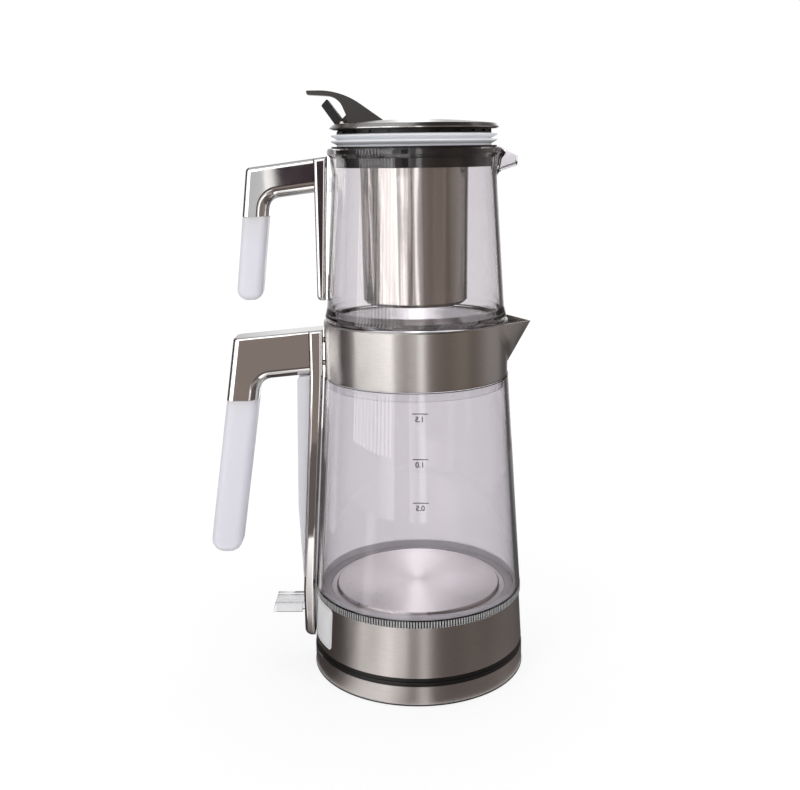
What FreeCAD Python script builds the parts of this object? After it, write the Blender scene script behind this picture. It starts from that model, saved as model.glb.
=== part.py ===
"""Two-tier electric tea maker: power base, glass kettle, glass teapot, infuser and lid.

Millimetres. +Z is up, the origin is on the vessels' common axis at table height, the
handles point to -X and the spouts to +X. Every sub-part is a document object whose sizes
are bound to the sheet, and each is written to parts/NAME.step.
"""
import FreeCAD, Part
import math
import os
import re
import Sketcher
from FreeCAD import Vector

doc = FreeCAD.newDocument("TeaMaker")
sheet = doc.addObject("Spreadsheet::Sheet", "Sizes")

# Driving dimensions: each is set by itself.
DIMENSIONS = {
    # how far a cutting shape stands past what it cuts
    "overcut": 1,
    "tool_reach": 30,
    # power base
    "foot_height": 1.8,
    "foot_stand": 0.8,
    "foot_inset": 9.8,
    "foot_width": 8,
    "foot_side_gap": 0.1,
    "pan_overhang": 0.3,
    "pan_lip": 0.8,
    "pan_floor": 2.2,
    "trim_overhang": 0.55,
    "trim_wall": 0.6,
    "trim_height": 13.2,
    "cover_wall": 2,
    "cover_rim_overlap": 0.2,
    "cover_rim_height": 2.7,
    "cover_rim_width": 2.6,
    "cover_rim_bevel": 0.7,
    "deck_drop": 1.5,
    "cord_notch_width": 8,
    "cord_notch_height": 7,
    "screw_circle": 46,
    "screw_count": 3,
    "screw_radius": 1.5,
    "screw_head_radius": 3.2,
    "screw_head_height": 1.1,
    "screw_length": 9,
    "screw_gap": 0.1,
    "screw_well_gap": 0.3,
    "boss_radius": 4,
    # coupler between base and kettle
    "coupler_hole": 15.5,
    "coupler_flange": 18,
    "coupler_flange_height": 2,
    "coupler_block_radius": 15.2,
    "coupler_block_height": 3,
    "collar_ring_radius": 12,
    "collar_ring_wall": 1.4,
    "collar_ring_height": 10,
    "post_radius": 5.5,
    "post_height": 11.5,
    "pin_radius": 1.4,
    "pin_foot_radius": 3,
    "pin_foot_height": 1,
    "pin_height": 10,
    "pin_gap": 0.6,
    "contact_radius": 8.2,
    "contact_wall": 1,
    "contact_height": 7,
    "coupler_play": 0.4,
    "coupler_roof": 1,
    "socket_radius": 16.5,
    "socket_flange_radius": 19.5,
    "socket_flange_height": 2,
    "socket_height": 16.4,
    "socket_gap": 0.6,
    # kettle foot and shroud
    "rest_play": 3.75,
    "rest_width": 4,
    "rest_height": 2.2,
    "lip_overhang": 0.05,
    "lip_height": 2.5,
    "bottom_floor": 2,
    "well_gap": 0.4,
    "well_wall": 2.1,
    "well_height": 5.8,
    "upstand_height": 5.3,
    "upstand_wall": 1.8,
    "upstand_gap": 0.4,
    "shroud_bottom_radius": 74.95,
    "shroud_taper": 2.05,
    "shroud_height": 35.7,
    "shroud_wall": 0.8,
    "shroud_flange": 6.9,
    # ribbed clear ring
    "ribbed_overhang": 1,
    "ribbed_width": 4,
    "ribbed_height": 4.6,
    "rib_count": 120,
    "rib_depth": 0.8,
    "rib_notch": 1.7,
    "rib_notch_over": 0.4,
    # heating plate and what is under it
    "plate_height": 4.6,
    "plate_sheet": 1,
    "plate_step_width": 3.6,
    "plate_step_height": 1.6,
    "plate_flange_gap": 0.4,
    "plate_flange_width": 7,
    "plate_bevel": 1.1,
    "seal_gap": 0.35,
    "seal_lip_height": 3,
    "seal_lip_wall": 1.5,
    "seal_base_height": 2,
    "spreader_inset": 7.9,
    "spreader_thickness": 3,
    "element_radius": 34,
    "element_tube_half": 3.2,
    "element_tube_flat": 1.6,
    "element_sweep": 300,
    "terminal_radius": 2.2,
    "terminal_length": 7,
    "control_radius": 21.5,
    "control_height": 10,
    "control_gap": 0.1,
    "control_post_radius": 2.2,
    "control_post_circle": 17,
    "control_post_count": 3,
    # kettle glass, gasket and collar
    "glass_inset": 0.3,
    "glass_top_radius": 63.7,
    "glass_height": 152.3,
    "glass_wall": 3,
    "gasket_height": 1,
    "gasket_lip_length": 5.8,
    "gasket_lip_wall": 0.9,
    "gasket_lip_gap": 0.35,
    "collar_radius": 63,
    "collar_height": 38,
    "collar_sheet": 0.8,
    "collar_mouth_radius": 59.5,
    "collar_bevel": 0.7,
    # sheet spout of the kettle
    "spout_tip_radius": 78.9,
    "spout_tip_drop": 2.6,
    "spout_drop": 31.5,
    "spout_shoulder_drop": 8.5,
    "spout_shoulder_half": 34.5,
    "spout_rim_half": 38,
    "spout_foot_share": 0.04,
    "spout_lap": 0.3,
    "spout_sheet": 0.8,
    "window_top_drop": 4,
    "window_bottom_drop": 25,
    "window_top_half": 24,
    "window_bottom_half": 5,
    # kettle handle spine
    "handle_half_width": 11,
    "spine_gap": 0.35,
    "spine_top_drop": 6,
    "spine_top_depth": 9.6,
    "spine_middle_depth": 8.6,
    "spine_foot_depth": 7.15,
    "spine_bottom": 21,
    "spine_narrow_drop": 55,
    "spine_wall": 1.5,
    "spine_corner": 5,
    "spine_round": 2.2,
    "spine_head_wall": 4,
    "spine_floor": 4.5,
    "back_lap": 4,
    "back_top_thickness": 8,
    "back_middle_thickness": 5.6,
    "back_middle_drop": 131,
    "back_bottom_drop": 186,
    "back_seam": 0.05,
    "back_top_gap": 0.2,
    "back_corner": 3,
    # kettle handle arm and grip
    "kettle_slope": 0.092,
    "kettle_lean": 0.1556,
    "kettle_arm_reach": 51.8,
    "kettle_arm_depth": 30.8,
    "kettle_leg_width": 21.8,
    "kettle_chrome_length": 43.4,
    "kettle_grip_reach": 155.3,
    "kettle_inner_corner": 10,
    "kettle_inner_round": 7,
    "kettle_outer_round": 4.5,
    "kettle_top_round": 1.8,
    "kettle_grip_round": 5.5,
    "kettle_end_round": 9,
    "edge_round": 0.8,
    "tang_size": 9,
    "tang_length": 12,
    "tang_gap": 0.15,
    "tang_place": 0.42,
    # collar screws through the spine into the arm
    "clamp_screw_radius": 2,
    "clamp_screw_head_radius": 3.6,
    "clamp_screw_head_height": 2,
    "clamp_screw_length": 20,
    "clamp_screw_seat": 0.15,
    "clamp_screw_upper_drop": 14.5,
    "clamp_screw_lower_drop": 30.5,
    # switch
    "switch_height": 43,
    "switch_thickness": 4.4,
    "switch_half_width": 8.9,
    "paddle_half_width": 11,
    "paddle_thickness": 6.4,
    "paddle_gap": 1.4,
    "paddle_groove": 1.2,
    "paddle_rim": 3,
    "paddle_slant": 1.5,
    "switch_reach": 26.6,
    "switch_inset": 3.9,
    "switch_pin_radius": 1,
    "switch_pin_inset": 0.5,
    "running_play": 0.05,
    "switch_slot_gap": 0.4,
    "switch_slot_drop": 1.2,
    "pin_press": 0.02,
    "switch_box_lift": 3,
    "switch_box_height": 20,
    "switch_box_half_width": 7,
    "steam_tube_radius": 2.4,
    "steam_tube_wall": 0.7,
    "steam_tube_gap": 0.3,
    "steam_tube_end_gap": 1,
    # teapot glass
    "pot_step_radius": 58.2,
    "pot_step_depth": 2.8,
    "pot_shoulder_radius": 61.4,
    "pot_bulge_radius": 61.9,
    "pot_bulge_height": 3,
    "pot_low_radius": 60.4,
    "pot_low_height": 8.7,
    "pot_neck_radius": 54.7,
    "pot_neck_drop": 17,
    "pot_flare_radius": 56,
    "pot_flare_drop": 6,
    "pot_height": 113.7,
    "pot_bead_radius": 57.8,
    "pot_bead_height": 3.6,
    "pot_bevel": 0.9,
    "pot_bulge_round": 2,
    "pot_neck_round": 12,
    "pot_wall": 2.6,
    "pot_floor": 3.5,
    "beak_reach": 68,
    "beak_tip_drop": 12.2,
    "beak_root_drop": 16.6,
    "beak_radius": 9,
    "beak_wall": 2.2,
    "beak_inset": 14,
    "beak_root_round": 5,
    "beak_lip_drop": 6.3,
    # teapot handle
    "pot_handle_half_width": 9,
    "pot_slope": 0.128,
    "pot_lean": 0.12,
    "pot_arm_reach": 44.8,
    "pot_arm_depth": 22.4,
    "pot_leg_width": 17.4,
    "pot_chrome_length": 31.7,
    "pot_grip_reach": 87.9,
    "pot_inner_corner": 8,
    "pot_inner_round": 8,
    "pot_outer_round": 4,
    "pot_top_round": 3,
    "pot_grip_round": 5,
    "pot_end_round": 7,
    "pot_seam_radius": 66.4,
    "pot_seam_drop": 5.9,
    "pot_bar_top_gap": 1,
    "pot_bar_foot_gap": 0.6,
    "pot_bar_bottom": 13.7,
    "pot_bar_corner": 3,
    "pot_bar_round": 2.4,
    "bond_half_width": 6.5,
    "bond_lower_lift": 2,
    "bond_lower_length": 14,
    "bond_upper_lift": 0.6,
    "bond_upper_length": 9,
    "bond_gap": 0.05,
    # infuser
    "infuser_flange_radius": 54.6,
    "infuser_flange_height": 1.2,
    "infuser_flange_inner": 48,
    "infuser_wall_radius": 51.7,
    "infuser_wall": 1.5,
    "infuser_depth": 12,
    "infuser_floor": 1.5,
    "infuser_floor_hole": 36.6,
    "strainer_slot_count": 9,
    "strainer_slot_angle": 64,
    "strainer_slot_width": 2,
    "strainer_slot_height": 7,
    "basket_radius": 36,
    "basket_bottom_radius": 35.4,
    "basket_lift": 11,
    "basket_wall": 0.6,
    "basket_flange_radius": 38.6,
    "basket_bevel": 2.2,
    "basket_slot_count": 16,
    "basket_slot_width": 1.2,
    "basket_slot_inner": 10,
    "basket_slot_outer": 29,
    # lid
    "seal_radius": 51,
    "seal_inner_radius": 47.1,
    "seal_height": 7.8,
    "seal_lip_radius": 54.9,
    "seal_lip_lift": 1.1,
    "seal_lip_pitch": 3.5,
    "seal_lip_taper": 1.9,
    "seal_lip_edge": 0.8,
    "seal_lip_back": 0.3,
    "plug_radius": 47,
    "plug_wall": 3,
    "plug_lift": 0.4,
    "neck_radius": 51,
    "neck_height": 2.9,
    "neck_plate": 2,
    "neck_window_count": 24,
    "neck_window_width": 6,
    "neck_window_height": 1.4,
    "neck_window_depth": 1.6,
    "neck_window_lift": 0.7,
    "pour_hole_radius": 14,
    "pour_hole_place": 26,
    "hinge_place": 47,
    "hinge_height": 4.3,
    "hinge_pin_radius": 1.2,
    "ear_inner": 3.6,
    "ear_outer": 8,
    "ear_radius": 3,
    "knuckle_half_width": 3.3,
    "knuckle_radius": 2.8,
    "hinge_relief": 1.3,
    "hinge_clearance": 0.6,
    "ear_root": 0.5,
    "ear_slot_height": 8,
    "pin_end_gap": 0.2,
    "tab_tip_place": 60.1,
    "tab_tip_height": 11.2,
    "tab_top_place": 56.2,
    "tab_top_height": 15.4,
    "liner_radius": 54.5,
    "liner_thickness": 1.2,
    "cap_notch_half": 9,
    "cap_notch_place": 42,
    "disc_radius": 56,
    "disc_edge_height": 3.3,
    "disc_bevel": 2.3,
    "disc_rim": 0.6,
    "disc_skirt_lift": 0.4,
    "disc_sheet": 0.7,
    "dome_rise": 3.1,
    "fin_half_width": 5,
    "fin_end": 12.7,
    "fin_crest_place": 47.3,
    "fin_crest_height": 20.9,
    "fin_tip_place": 70.2,
    "fin_under_place": 69.4,
    "fin_under_height": 18.2,
    "fin_bend_place": 49.3,
    "fin_bend_height": 16.9,
    "fin_root": 44.3,
    "fin_root_height": 5.2,
    "fin_crest_curve": 48,
    "fin_bend_curve": 12,
    "fin_seat_gap": 0.05,
    "fin_ear_gap": 0.4,
    "fin_side_gap": 0.2,
}

# Places and widths that follow from them, written as sheet formulas.
PLACES = {
    "trim_radius": "shroud_bottom_radius + trim_overhang",
    "pan_radius": "trim_radius + pan_overhang",
    "foot_outer_radius": "pan_radius - foot_inset",
    "foot_inner_radius": "foot_outer_radius - foot_width",
    "pan_top": "foot_stand + pan_floor",
    "trim_bottom": "foot_stand + pan_lip",
    "trim_top": "trim_bottom + trim_height",
    "trim_inner": "trim_radius - trim_wall",
    "skirt_radius": "trim_inner - 2 * screw_gap",
    "rim_radius": "trim_inner + cover_rim_overlap",
    "rim_inner": "rim_radius - cover_rim_width - deck_drop / 2",
    "rim_top": "trim_top + cover_rim_height",
    "deck_top": "rim_top - deck_drop",
    "deck_bottom": "deck_top - cover_wall",
    "block_top": "deck_bottom + coupler_block_height",
    "coupler_bottom": "deck_bottom - coupler_flange_height",
    "rest_outer_radius": "rim_inner - rest_play",
    "rest_inner_radius": "rest_outer_radius - rest_width",
    "lip_radius": "shroud_bottom_radius + lip_overhang",
    "rest_bottom": "deck_top",
    "lip_bottom": "rest_bottom + rest_height",
    "lip_top": "lip_bottom + lip_height",
    "bottom_top": "lip_bottom + bottom_floor",
    "well_radius": "socket_radius + well_gap",
    "well_top": "lip_bottom + well_height",
    "socket_bottom": "block_top + socket_gap",
    "socket_top": "socket_bottom + socket_height",
    "shroud_top": "lip_top + shroud_height",
    "shroud_top_radius": "shroud_bottom_radius - shroud_taper",
    "shroud_slope": "(shroud_bottom_radius - shroud_top_radius) / shroud_height",
    "upstand_top": "lip_top + upstand_height",
    "upstand_lean": "max(0; shroud_slope) * upstand_height",
    "upstand_radius": "shroud_bottom_radius - shroud_wall - upstand_gap - upstand_lean",
    "ribbed_top": "shroud_top + ribbed_height",
    "ribbed_radius": "shroud_top_radius + ribbed_overhang",
    "ribbed_inner": "ribbed_radius - ribbed_width",
    "plate_flange_radius": "ribbed_inner - plate_flange_gap",
    "plate_step_radius": "plate_flange_radius - plate_flange_width",
    "plate_radius": "plate_step_radius - plate_step_width",
    "plate_top": "shroud_top + plate_height",
    "plate_under": "plate_top - plate_sheet",
    "glass_top": "ribbed_top + glass_height",
    "glass_bottom_radius": "ribbed_radius - glass_inset",
    "glass_slope": "(glass_bottom_radius - glass_top_radius) / glass_height",
    "spreader_radius": "plate_radius - plate_sheet - spreader_inset",
    "spreader_bottom": "plate_under - spreader_thickness",
    "control_bottom": "socket_top + control_gap",
    "control_top": "control_bottom + control_height",
    "collar_bottom": "glass_top + gasket_height",
    "collar_top": "collar_bottom + collar_height",
    # spout: how far its fold leans out per mm, and the shift that gives its sheet its thickness
    "spout_lean": "(spout_tip_radius - collar_radius) / (spout_drop - spout_tip_drop)",
    "spout_foot": "collar_top - spout_drop",
    "spout_rise": "spout_drop - spout_shoulder_drop",
    "spout_inset": "spout_sheet * sqrt(spout_lean ^ 2 + 1)",
    "spout_side": "sqrt(collar_radius ^ 2 - spout_rim_half ^ 2)",
    # spine: inner and outer faces at the top, at the narrowing, and at the shroud
    "spine_top": "collar_top - spine_top_drop",
    "spine_inner_top": "collar_radius + spine_gap",
    "spine_outer_top": "spine_inner_top + spine_top_depth",
    "spine_inner_low": "ribbed_radius + spine_gap",
    "spine_inner_foot": "max(shroud_bottom_radius; shroud_top_radius) + spine_gap",
    "spine_inner_widest": "max(spine_inner_low; spine_inner_foot)",
    "spine_outer_low": "spine_inner_widest + spine_foot_depth",
    "spine_narrow": "collar_top - spine_narrow_drop",
    "spine_inner_narrow": "glass_top_radius + spine_gap + glass_slope * (glass_top - spine_narrow)",
    "spine_outer_narrow": "spine_inner_narrow + spine_middle_depth",
    "spine_half_hollow": "handle_half_width - spine_wall",
    "spine_outer_slope": "(spine_outer_low - spine_outer_narrow) / (spine_narrow - shroud_top)",
    "spine_inner_glass": "glass_top_radius + spine_gap",
    "spine_hollow_top": "collar_bottom + spine_head_wall",
    "spine_hollow_bottom": "spine_bottom + spine_floor",
    "switch_x": "spine_outer_low - switch_inset",
    "switch_box_bottom": "switch_height + switch_thickness / 2 + switch_box_lift",
    "switch_box_top": "switch_box_bottom + switch_box_height",
    "back_middle": "collar_top - back_middle_drop",
    "back_bottom": "collar_top - back_bottom_drop",
    # kettle arm and leg
    "kettle_seam_x": "spine_outer_top",
    "kettle_seam_z": "spine_top - kettle_slope * spine_top_depth",
    "kettle_half_width": "handle_half_width",
    # teapot
    "pot_bottom": "collar_top - pot_step_depth",
    "pot_top": "collar_top + pot_height",
    "pot_slope_out": "(pot_low_radius - pot_neck_radius) / (pot_height - pot_neck_drop - pot_low_height)",
    "pot_half_width": "pot_handle_half_width",
    "pot_seam_x": "pot_seam_radius",
    "pot_seam_z": "pot_top - pot_seam_drop",
    "pot_bar_end": "collar_top + pot_bar_bottom",
    "pot_bar_glass": "pot_neck_radius + pot_slope_out * (pot_top - pot_neck_drop - pot_bar_end)",
    "pot_bar_foot": "pot_bar_glass + pot_bar_foot_gap",
    "pot_bar_head": "pot_flare_radius + pot_bar_top_gap",
    "beak_run": "beak_reach - pot_neck_radius",
    "beak_climb": "beak_root_drop - beak_tip_drop",
    "beak_length": "sqrt(beak_run ^ 2 + beak_climb ^ 2)",
    # infuser
    "infuser_bottom": "pot_top - infuser_depth",
    "infuser_top": "pot_top + infuser_flange_height",
    "basket_top": "infuser_bottom + infuser_floor",
    "basket_bottom": "pot_bottom + pot_floor + basket_lift",
    # lid
    "lid_bottom": "infuser_top",
    "neck_bottom": "lid_bottom + seal_height",
    "neck_top": "neck_bottom + neck_height",
    "hinge_z": "neck_top + hinge_height",
    "liner_top": "neck_top + liner_thickness",
    "disc_edge": "neck_top + disc_edge_height",
    "disc_top": "disc_edge + dome_rise",
    "crown_radius": "disc_radius - disc_bevel",
    "dome_radius": "(crown_radius ^ 2 + dome_rise ^ 2) / (2 * dome_rise)",
}

# The arm's inner corner, where the underside of the arm meets the inner line of the leg.
for part_name in ("kettle", "pot"):
    PLACES[f"{part_name}_corner_x"] = f"{part_name}_seam_x + {part_name}_arm_reach"
    PLACES[f"{part_name}_corner_z"] = (
        f"{part_name}_seam_z - {part_name}_slope * {part_name}_arm_reach"
    )
    PLACES[f"{part_name}_under_z"] = f"{part_name}_seam_z - {part_name}_arm_depth"
    PLACES[f"{part_name}_chrome_z"] = f"{part_name}_corner_z - {part_name}_chrome_length"
    PLACES[f"{part_name}_grip_z"] = f"{part_name}_corner_z - {part_name}_grip_reach"
    PLACES[f"{part_name}_inner_x"] = (
        f"({part_name}_corner_x - {part_name}_leg_width"
        f" + {part_name}_lean * ({part_name}_corner_z - {part_name}_under_z"
        f" - {part_name}_slope * {part_name}_seam_x))"
        f" / (1 - {part_name}_slope * {part_name}_lean)"
    )
    PLACES[f"{part_name}_inner_z"] = (
        f"{part_name}_under_z - {part_name}_slope * ({part_name}_inner_x - {part_name}_seam_x)"
    )

NAMES = list(DIMENSIONS) + list(PLACES)
for row, name in enumerate(NAMES, start=1):
    sheet.set(f"A{row}", name)
    sheet.set(f"B{row}", str(DIMENSIONS[name]) if name in DIMENSIONS else "=" + PLACES[name])
    sheet.setAlias(f"B{row}", name)
doc.recompute()
KNOWN = set(NAMES)
WORD = re.compile(r"[a-z][a-z_]*")
# How near an edge lies to the face or the line that it is looked for on.
TOUCH = 0.01
NEAR = 0.5


def value(expression):
    """The number that an expression in the sheet's names comes to."""
    return float(sheet.evalExpression(expression))


def bound(expression):
    """The expression as another object of the document writes it."""
    return WORD.sub(lambda w: f"Sizes.{w[0]}" if w[0] in KNOWN else w[0], expression)


NODES = []


def new_body(label, is_node=True):
    """An empty PartDesign body; a node is a sub-part that gets a file of its own."""
    body = doc.addObject("PartDesign::Body", label)
    body.Label = label
    if is_node:
        NODES.append(body)
    return body


def bind(item, **expressions):
    """Ties properties of a document object to the sheet."""
    for name, expression in expressions.items():
        item.setExpression(name, bound(expression))
    return item


def new_sketch(body, role, height=None, spin=None):
    """A sketch on one of the body's own origin planes, raised along its normal or spun about it."""
    sketch = body.newObject("Sketcher::SketchObject", body.Label + "_sketch")
    planes = [item for item in body.Origin.OriginFeatures if item.Role == role]
    sketch.AttachmentSupport = [(planes[0], "")]
    sketch.MapMode = "FlatFace"
    if height is not None:
        sketch.setExpression(".AttachmentOffset.Base.z", bound(height))
    if spin is not None:
        sketch.setExpression(".AttachmentOffset.Rotation.Angle", bound(spin))
    return sketch


def dimension(sketch, constraint, name, expression):
    """A named constraint bound to an expression."""
    constraint.Name = name
    sketch.addConstraint(constraint)
    sketch.setExpression("Constraints." + name, bound(expression))


def place_point(sketch, item, end, tag, x, y):
    """Fixes a sketch point at the place (x, y), each an expression."""
    at_x = Sketcher.Constraint("DistanceX", -1, 1, item, end, value(x))
    at_y = Sketcher.Constraint("DistanceY", -1, 1, item, end, value(y))
    dimension(sketch, at_x, f"x{tag}", x)
    dimension(sketch, at_y, f"y{tag}", y)


def arc_between(start, end, radius):
    """A shallow arc from start to end that bends out to the right of that direction."""
    middle = (start + end) * 0.5
    chord = end - start
    rise = math.sqrt(radius ** 2 - (chord.Length / 2) ** 2)
    left = Vector(-chord.y, chord.x, 0).normalize()
    centre = middle + left * rise
    from_angle = math.atan2(start.y - centre.y, start.x - centre.x)
    to_angle = math.atan2(end.y - centre.y, end.x - centre.x)
    return Part.ArcOfCircle(Part.Circle(centre, Vector(0, 0, 1), radius), from_angle, to_angle)


def outline(sketch, corners, bends=None):
    """A closed outline, anticlockwise, through corners (x, y) or (x, y, rounding radius).

    bends gives the radius of an edge that bends outwards, by the number of its first corner.
    """
    bends = bends or {}
    count = len(corners)
    points = [Vector(value(c[0]), value(c[1]), 0) for c in corners]
    begin, finish, rounds = list(points), list(points), {}
    for i, corner in enumerate(corners):
        if len(corner) == 3:
            back = (points[i - 1] - points[i]).normalize()
            ahead = (points[(i + 1) % count] - points[i]).normalize()
            half = back.getAngle(ahead) / 2
            radius = value(corner[2])
            finish[i] = points[i] + back * (radius / math.tan(half))
            begin[i] = points[i] + ahead * (radius / math.tan(half))
            middle = (back + ahead).normalize()
            rounds[i] = (points[i] + middle * (radius / math.sin(half)), radius)
    for i in range(count):
        start, end = begin[i], finish[(i + 1) % count]
        if i in bends:
            sketch.addGeometry(arc_between(start, end, value(bends[i])))
            bend = Sketcher.Constraint("Radius", i, value(bends[i]))
            dimension(sketch, bend, f"bend{i}", bends[i])
        else:
            sketch.addGeometry(Part.LineSegment(start, end))
    for i, corner in enumerate(corners):
        before = (i - 1) % count
        if i not in rounds:
            sketch.addConstraint(Sketcher.Constraint("Coincident", before, 2, i, 1))
            place_point(sketch, i, 1, i, corner[0], corner[1])
            continue
        centre, radius = rounds[i]
        angles = [math.atan2(p.y - centre.y, p.x - centre.x) for p in (finish[i], begin[i])]
        turn = (finish[i] - points[i - 1]).cross(points[(i + 1) % count] - begin[i]).z
        ends = (1, 2) if turn > 0 else (2, 1)
        circle = Part.Circle(centre, Vector(0, 0, 1), radius)
        arc = sketch.addGeometry(Part.ArcOfCircle(circle, *sorted_arc(angles, turn > 0)))
        mark = sketch.addGeometry(Part.Point(points[i]), True)
        sketch.addConstraint([
            Sketcher.Constraint("Tangent", before, 2, arc, ends[0]),
            Sketcher.Constraint("Tangent", arc, ends[1], i, 1),
            Sketcher.Constraint("PointOnObject", mark, 1, before),
            Sketcher.Constraint("PointOnObject", mark, 1, i),
        ])
        place_point(sketch, mark, 1, i, corner[0], corner[1])
        dimension(sketch, Sketcher.Constraint("Radius", arc, radius), f"round{i}", corner[2])
    return sketch


def sorted_arc(angles, anticlockwise):
    """Start and end angles of the arc as a sketch draws it, always anticlockwise."""
    return angles if anticlockwise else angles[::-1]


def circle_at(sketch, x, y, radius, tag=""):
    """A circle whose centre and radius are bound to the sheet."""
    centre = Vector(value(x), value(y), 0)
    item = sketch.addGeometry(Part.Circle(centre, Vector(0, 0, 1), value(radius)))
    place_point(sketch, item, 3, f"c{tag}", x, y)
    size = Sketcher.Constraint("Radius", item, value(radius))
    dimension(sketch, size, f"radius{tag}", radius)
    return sketch


def settle(body, feature, adds):
    """Recomputes a new feature and makes sure that it added or removed material."""
    before = feature.BaseFeature.Shape.Volume if feature.BaseFeature else 0
    body.Tip = feature
    doc.recompute()
    after = feature.Shape.Volume
    if (after - before) * (1 if adds else -1) <= 1e-6:
        raise RuntimeError(f"{feature.Label} changed the volume from {before} to {after}")
    return feature


def revolve(body, sketch, cut=False, angle="360"):
    """Turns an outline round the sketch's vertical axis, half the angle to either side."""
    kind = "PartDesign::Groove" if cut else "PartDesign::Revolution"
    feature = body.newObject(kind, body.Label + ("_groove" if cut else "_turn"))
    feature.Profile = sketch
    feature.ReferenceAxis = (sketch, ["V_Axis"])
    feature.Midplane = True
    bind(feature, Angle=angle)
    sketch.Visibility = False
    return settle(body, feature, not cut)


def turned(label, corners, bends=None, is_node=True):
    """A body turned about Z from corners given as (radius, height)."""
    body = new_body(label, is_node)
    revolve(body, outline(new_sketch(body, "XZ_Plane"), corners, bends))
    return body


def extrude(body, sketch, length, cut=False, both=False, flip=False, adds=None):
    """Pads or pockets a sketch; both spreads the length evenly about its plane."""
    kind = "PartDesign::Pocket" if cut else "PartDesign::Pad"
    feature = body.newObject(kind, body.Label + ("_pocket" if cut else "_pad"))
    feature.Profile = sketch
    feature.Reversed = flip
    feature.SideType = "Symmetric" if both else "One side"
    bind(feature, Length=length)
    return settle(body, feature, not cut if adds is None else adds)


def prism(label, corners, half_width, bends=None, is_node=True):
    """A body of constant outline in XZ, half_width to either side of Y = 0."""
    body = new_body(label, is_node)
    sketch = outline(new_sketch(body, "XZ_Plane"), corners, bends)
    extrude(body, sketch, f"2 * ({half_width})", both=True)
    return body


def loft(body, sections):
    """Adds a skin through outlines that have the same number of corners."""
    feature = body.newObject("PartDesign::AdditiveLoft", body.Label + "_loft")
    feature.Profile = sections[0]
    feature.Sections = sections[1:]
    for sketch in sections:
        sketch.Visibility = False
    return settle(body, feature, adds=True)


def side_pocket(body, corners, half_width):
    """Cuts an XZ outline out of a body, half_width to either side of Y = 0."""
    sketch = outline(new_sketch(body, "XZ_Plane"), corners)
    return extrude(body, sketch, f"2 * ({half_width})", cut=True, both=True)


def around(body, features, count, sketch, angle="360"):
    """Repeats features of a body about Z."""
    pattern = body.newObject("PartDesign::PolarPattern", body.Label + "_pattern")
    pattern.Originals = features
    pattern.Axis = (sketch, ["N_Axis"])
    bind(pattern, Occurrences=count, Angle=angle)
    body.Tip = pattern
    doc.recompute()
    return pattern


def round_edges(body, chosen, radius):
    """Fillets the edges of a body that the function chosen picks."""
    base = body.Tip
    names = [f"Edge{n}" for n, edge in enumerate(base.Shape.Edges, start=1) if chosen(edge)]
    fillet = body.newObject("PartDesign::Fillet", body.Label + "_fillet")
    fillet.Base = (base, names)
    bind(fillet, Radius=radius)
    return settle(body, fillet, adds=False)


def rectangle(x_low, x_high, y_low, y_high):
    """Corners of a rectangle, anticlockwise."""
    return [(x_low, y_low), (x_high, y_low), (x_high, y_high), (x_low, y_high)]


# ---------------------------------------------------------------- power base

def base_foot_ring():
    """Rubber ring foot, let into the pan."""
    inner, outer = "foot_inner_radius", "foot_outer_radius"
    return turned("base_foot_ring", rectangle(inner, outer, "0", "foot_height"))


def base_pan():
    """Black floor of the base, with the foot's groove and three screw wells."""
    groove_low, groove_high = "foot_inner_radius - foot_side_gap", "foot_outer_radius + foot_side_gap"
    pan = turned("base_pan", [
        ("0", "foot_stand"),
        (groove_low, "foot_stand"),
        (groove_low, "foot_height"),
        (groove_high, "foot_height"),
        (groove_high, "foot_stand"),
        ("pan_radius", "foot_stand"),
        ("pan_radius", "trim_bottom"),
        ("skirt_radius", "trim_bottom"),
        ("skirt_radius", "pan_top"),
        ("0", "pan_top"),
    ])
    well = circle_at(new_sketch(pan, "XY_Plane"), "screw_circle", "0", "screw_head_radius + screw_well_gap")
    well_cut = extrude(pan, well, "foot_stand + screw_head_height", cut=True, flip=True)
    hole = circle_at(new_sketch(pan, "XY_Plane"), "screw_circle", "0", "screw_radius + screw_gap")
    hole_cut = extrude(pan, hole, "pan_top + overcut", cut=True, flip=True)
    around(pan, [well_cut, hole_cut], "screw_count", hole)
    return pan


def base_screws():
    """Three screws that hold the pan to the cover's bosses."""
    screws = new_body("base_screws")
    head_top = "foot_stand + screw_head_height"
    head = circle_at(
        new_sketch(screws, "XY_Plane", "foot_stand"), "screw_circle", "0", "screw_head_radius"
    )
    head_pad = extrude(screws, head, "screw_head_height")
    shank = circle_at(new_sketch(screws, "XY_Plane", head_top), "screw_circle", "0", "screw_radius")
    shank_pad = extrude(screws, shank, "screw_length")
    around(screws, [head_pad, shank_pad], "screw_count", shank)
    return screws


def base_trim_ring():
    """Brushed steel band round the base."""
    return turned("base_trim_ring", rectangle("trim_inner", "trim_radius", "trim_bottom", "trim_top"))


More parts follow.
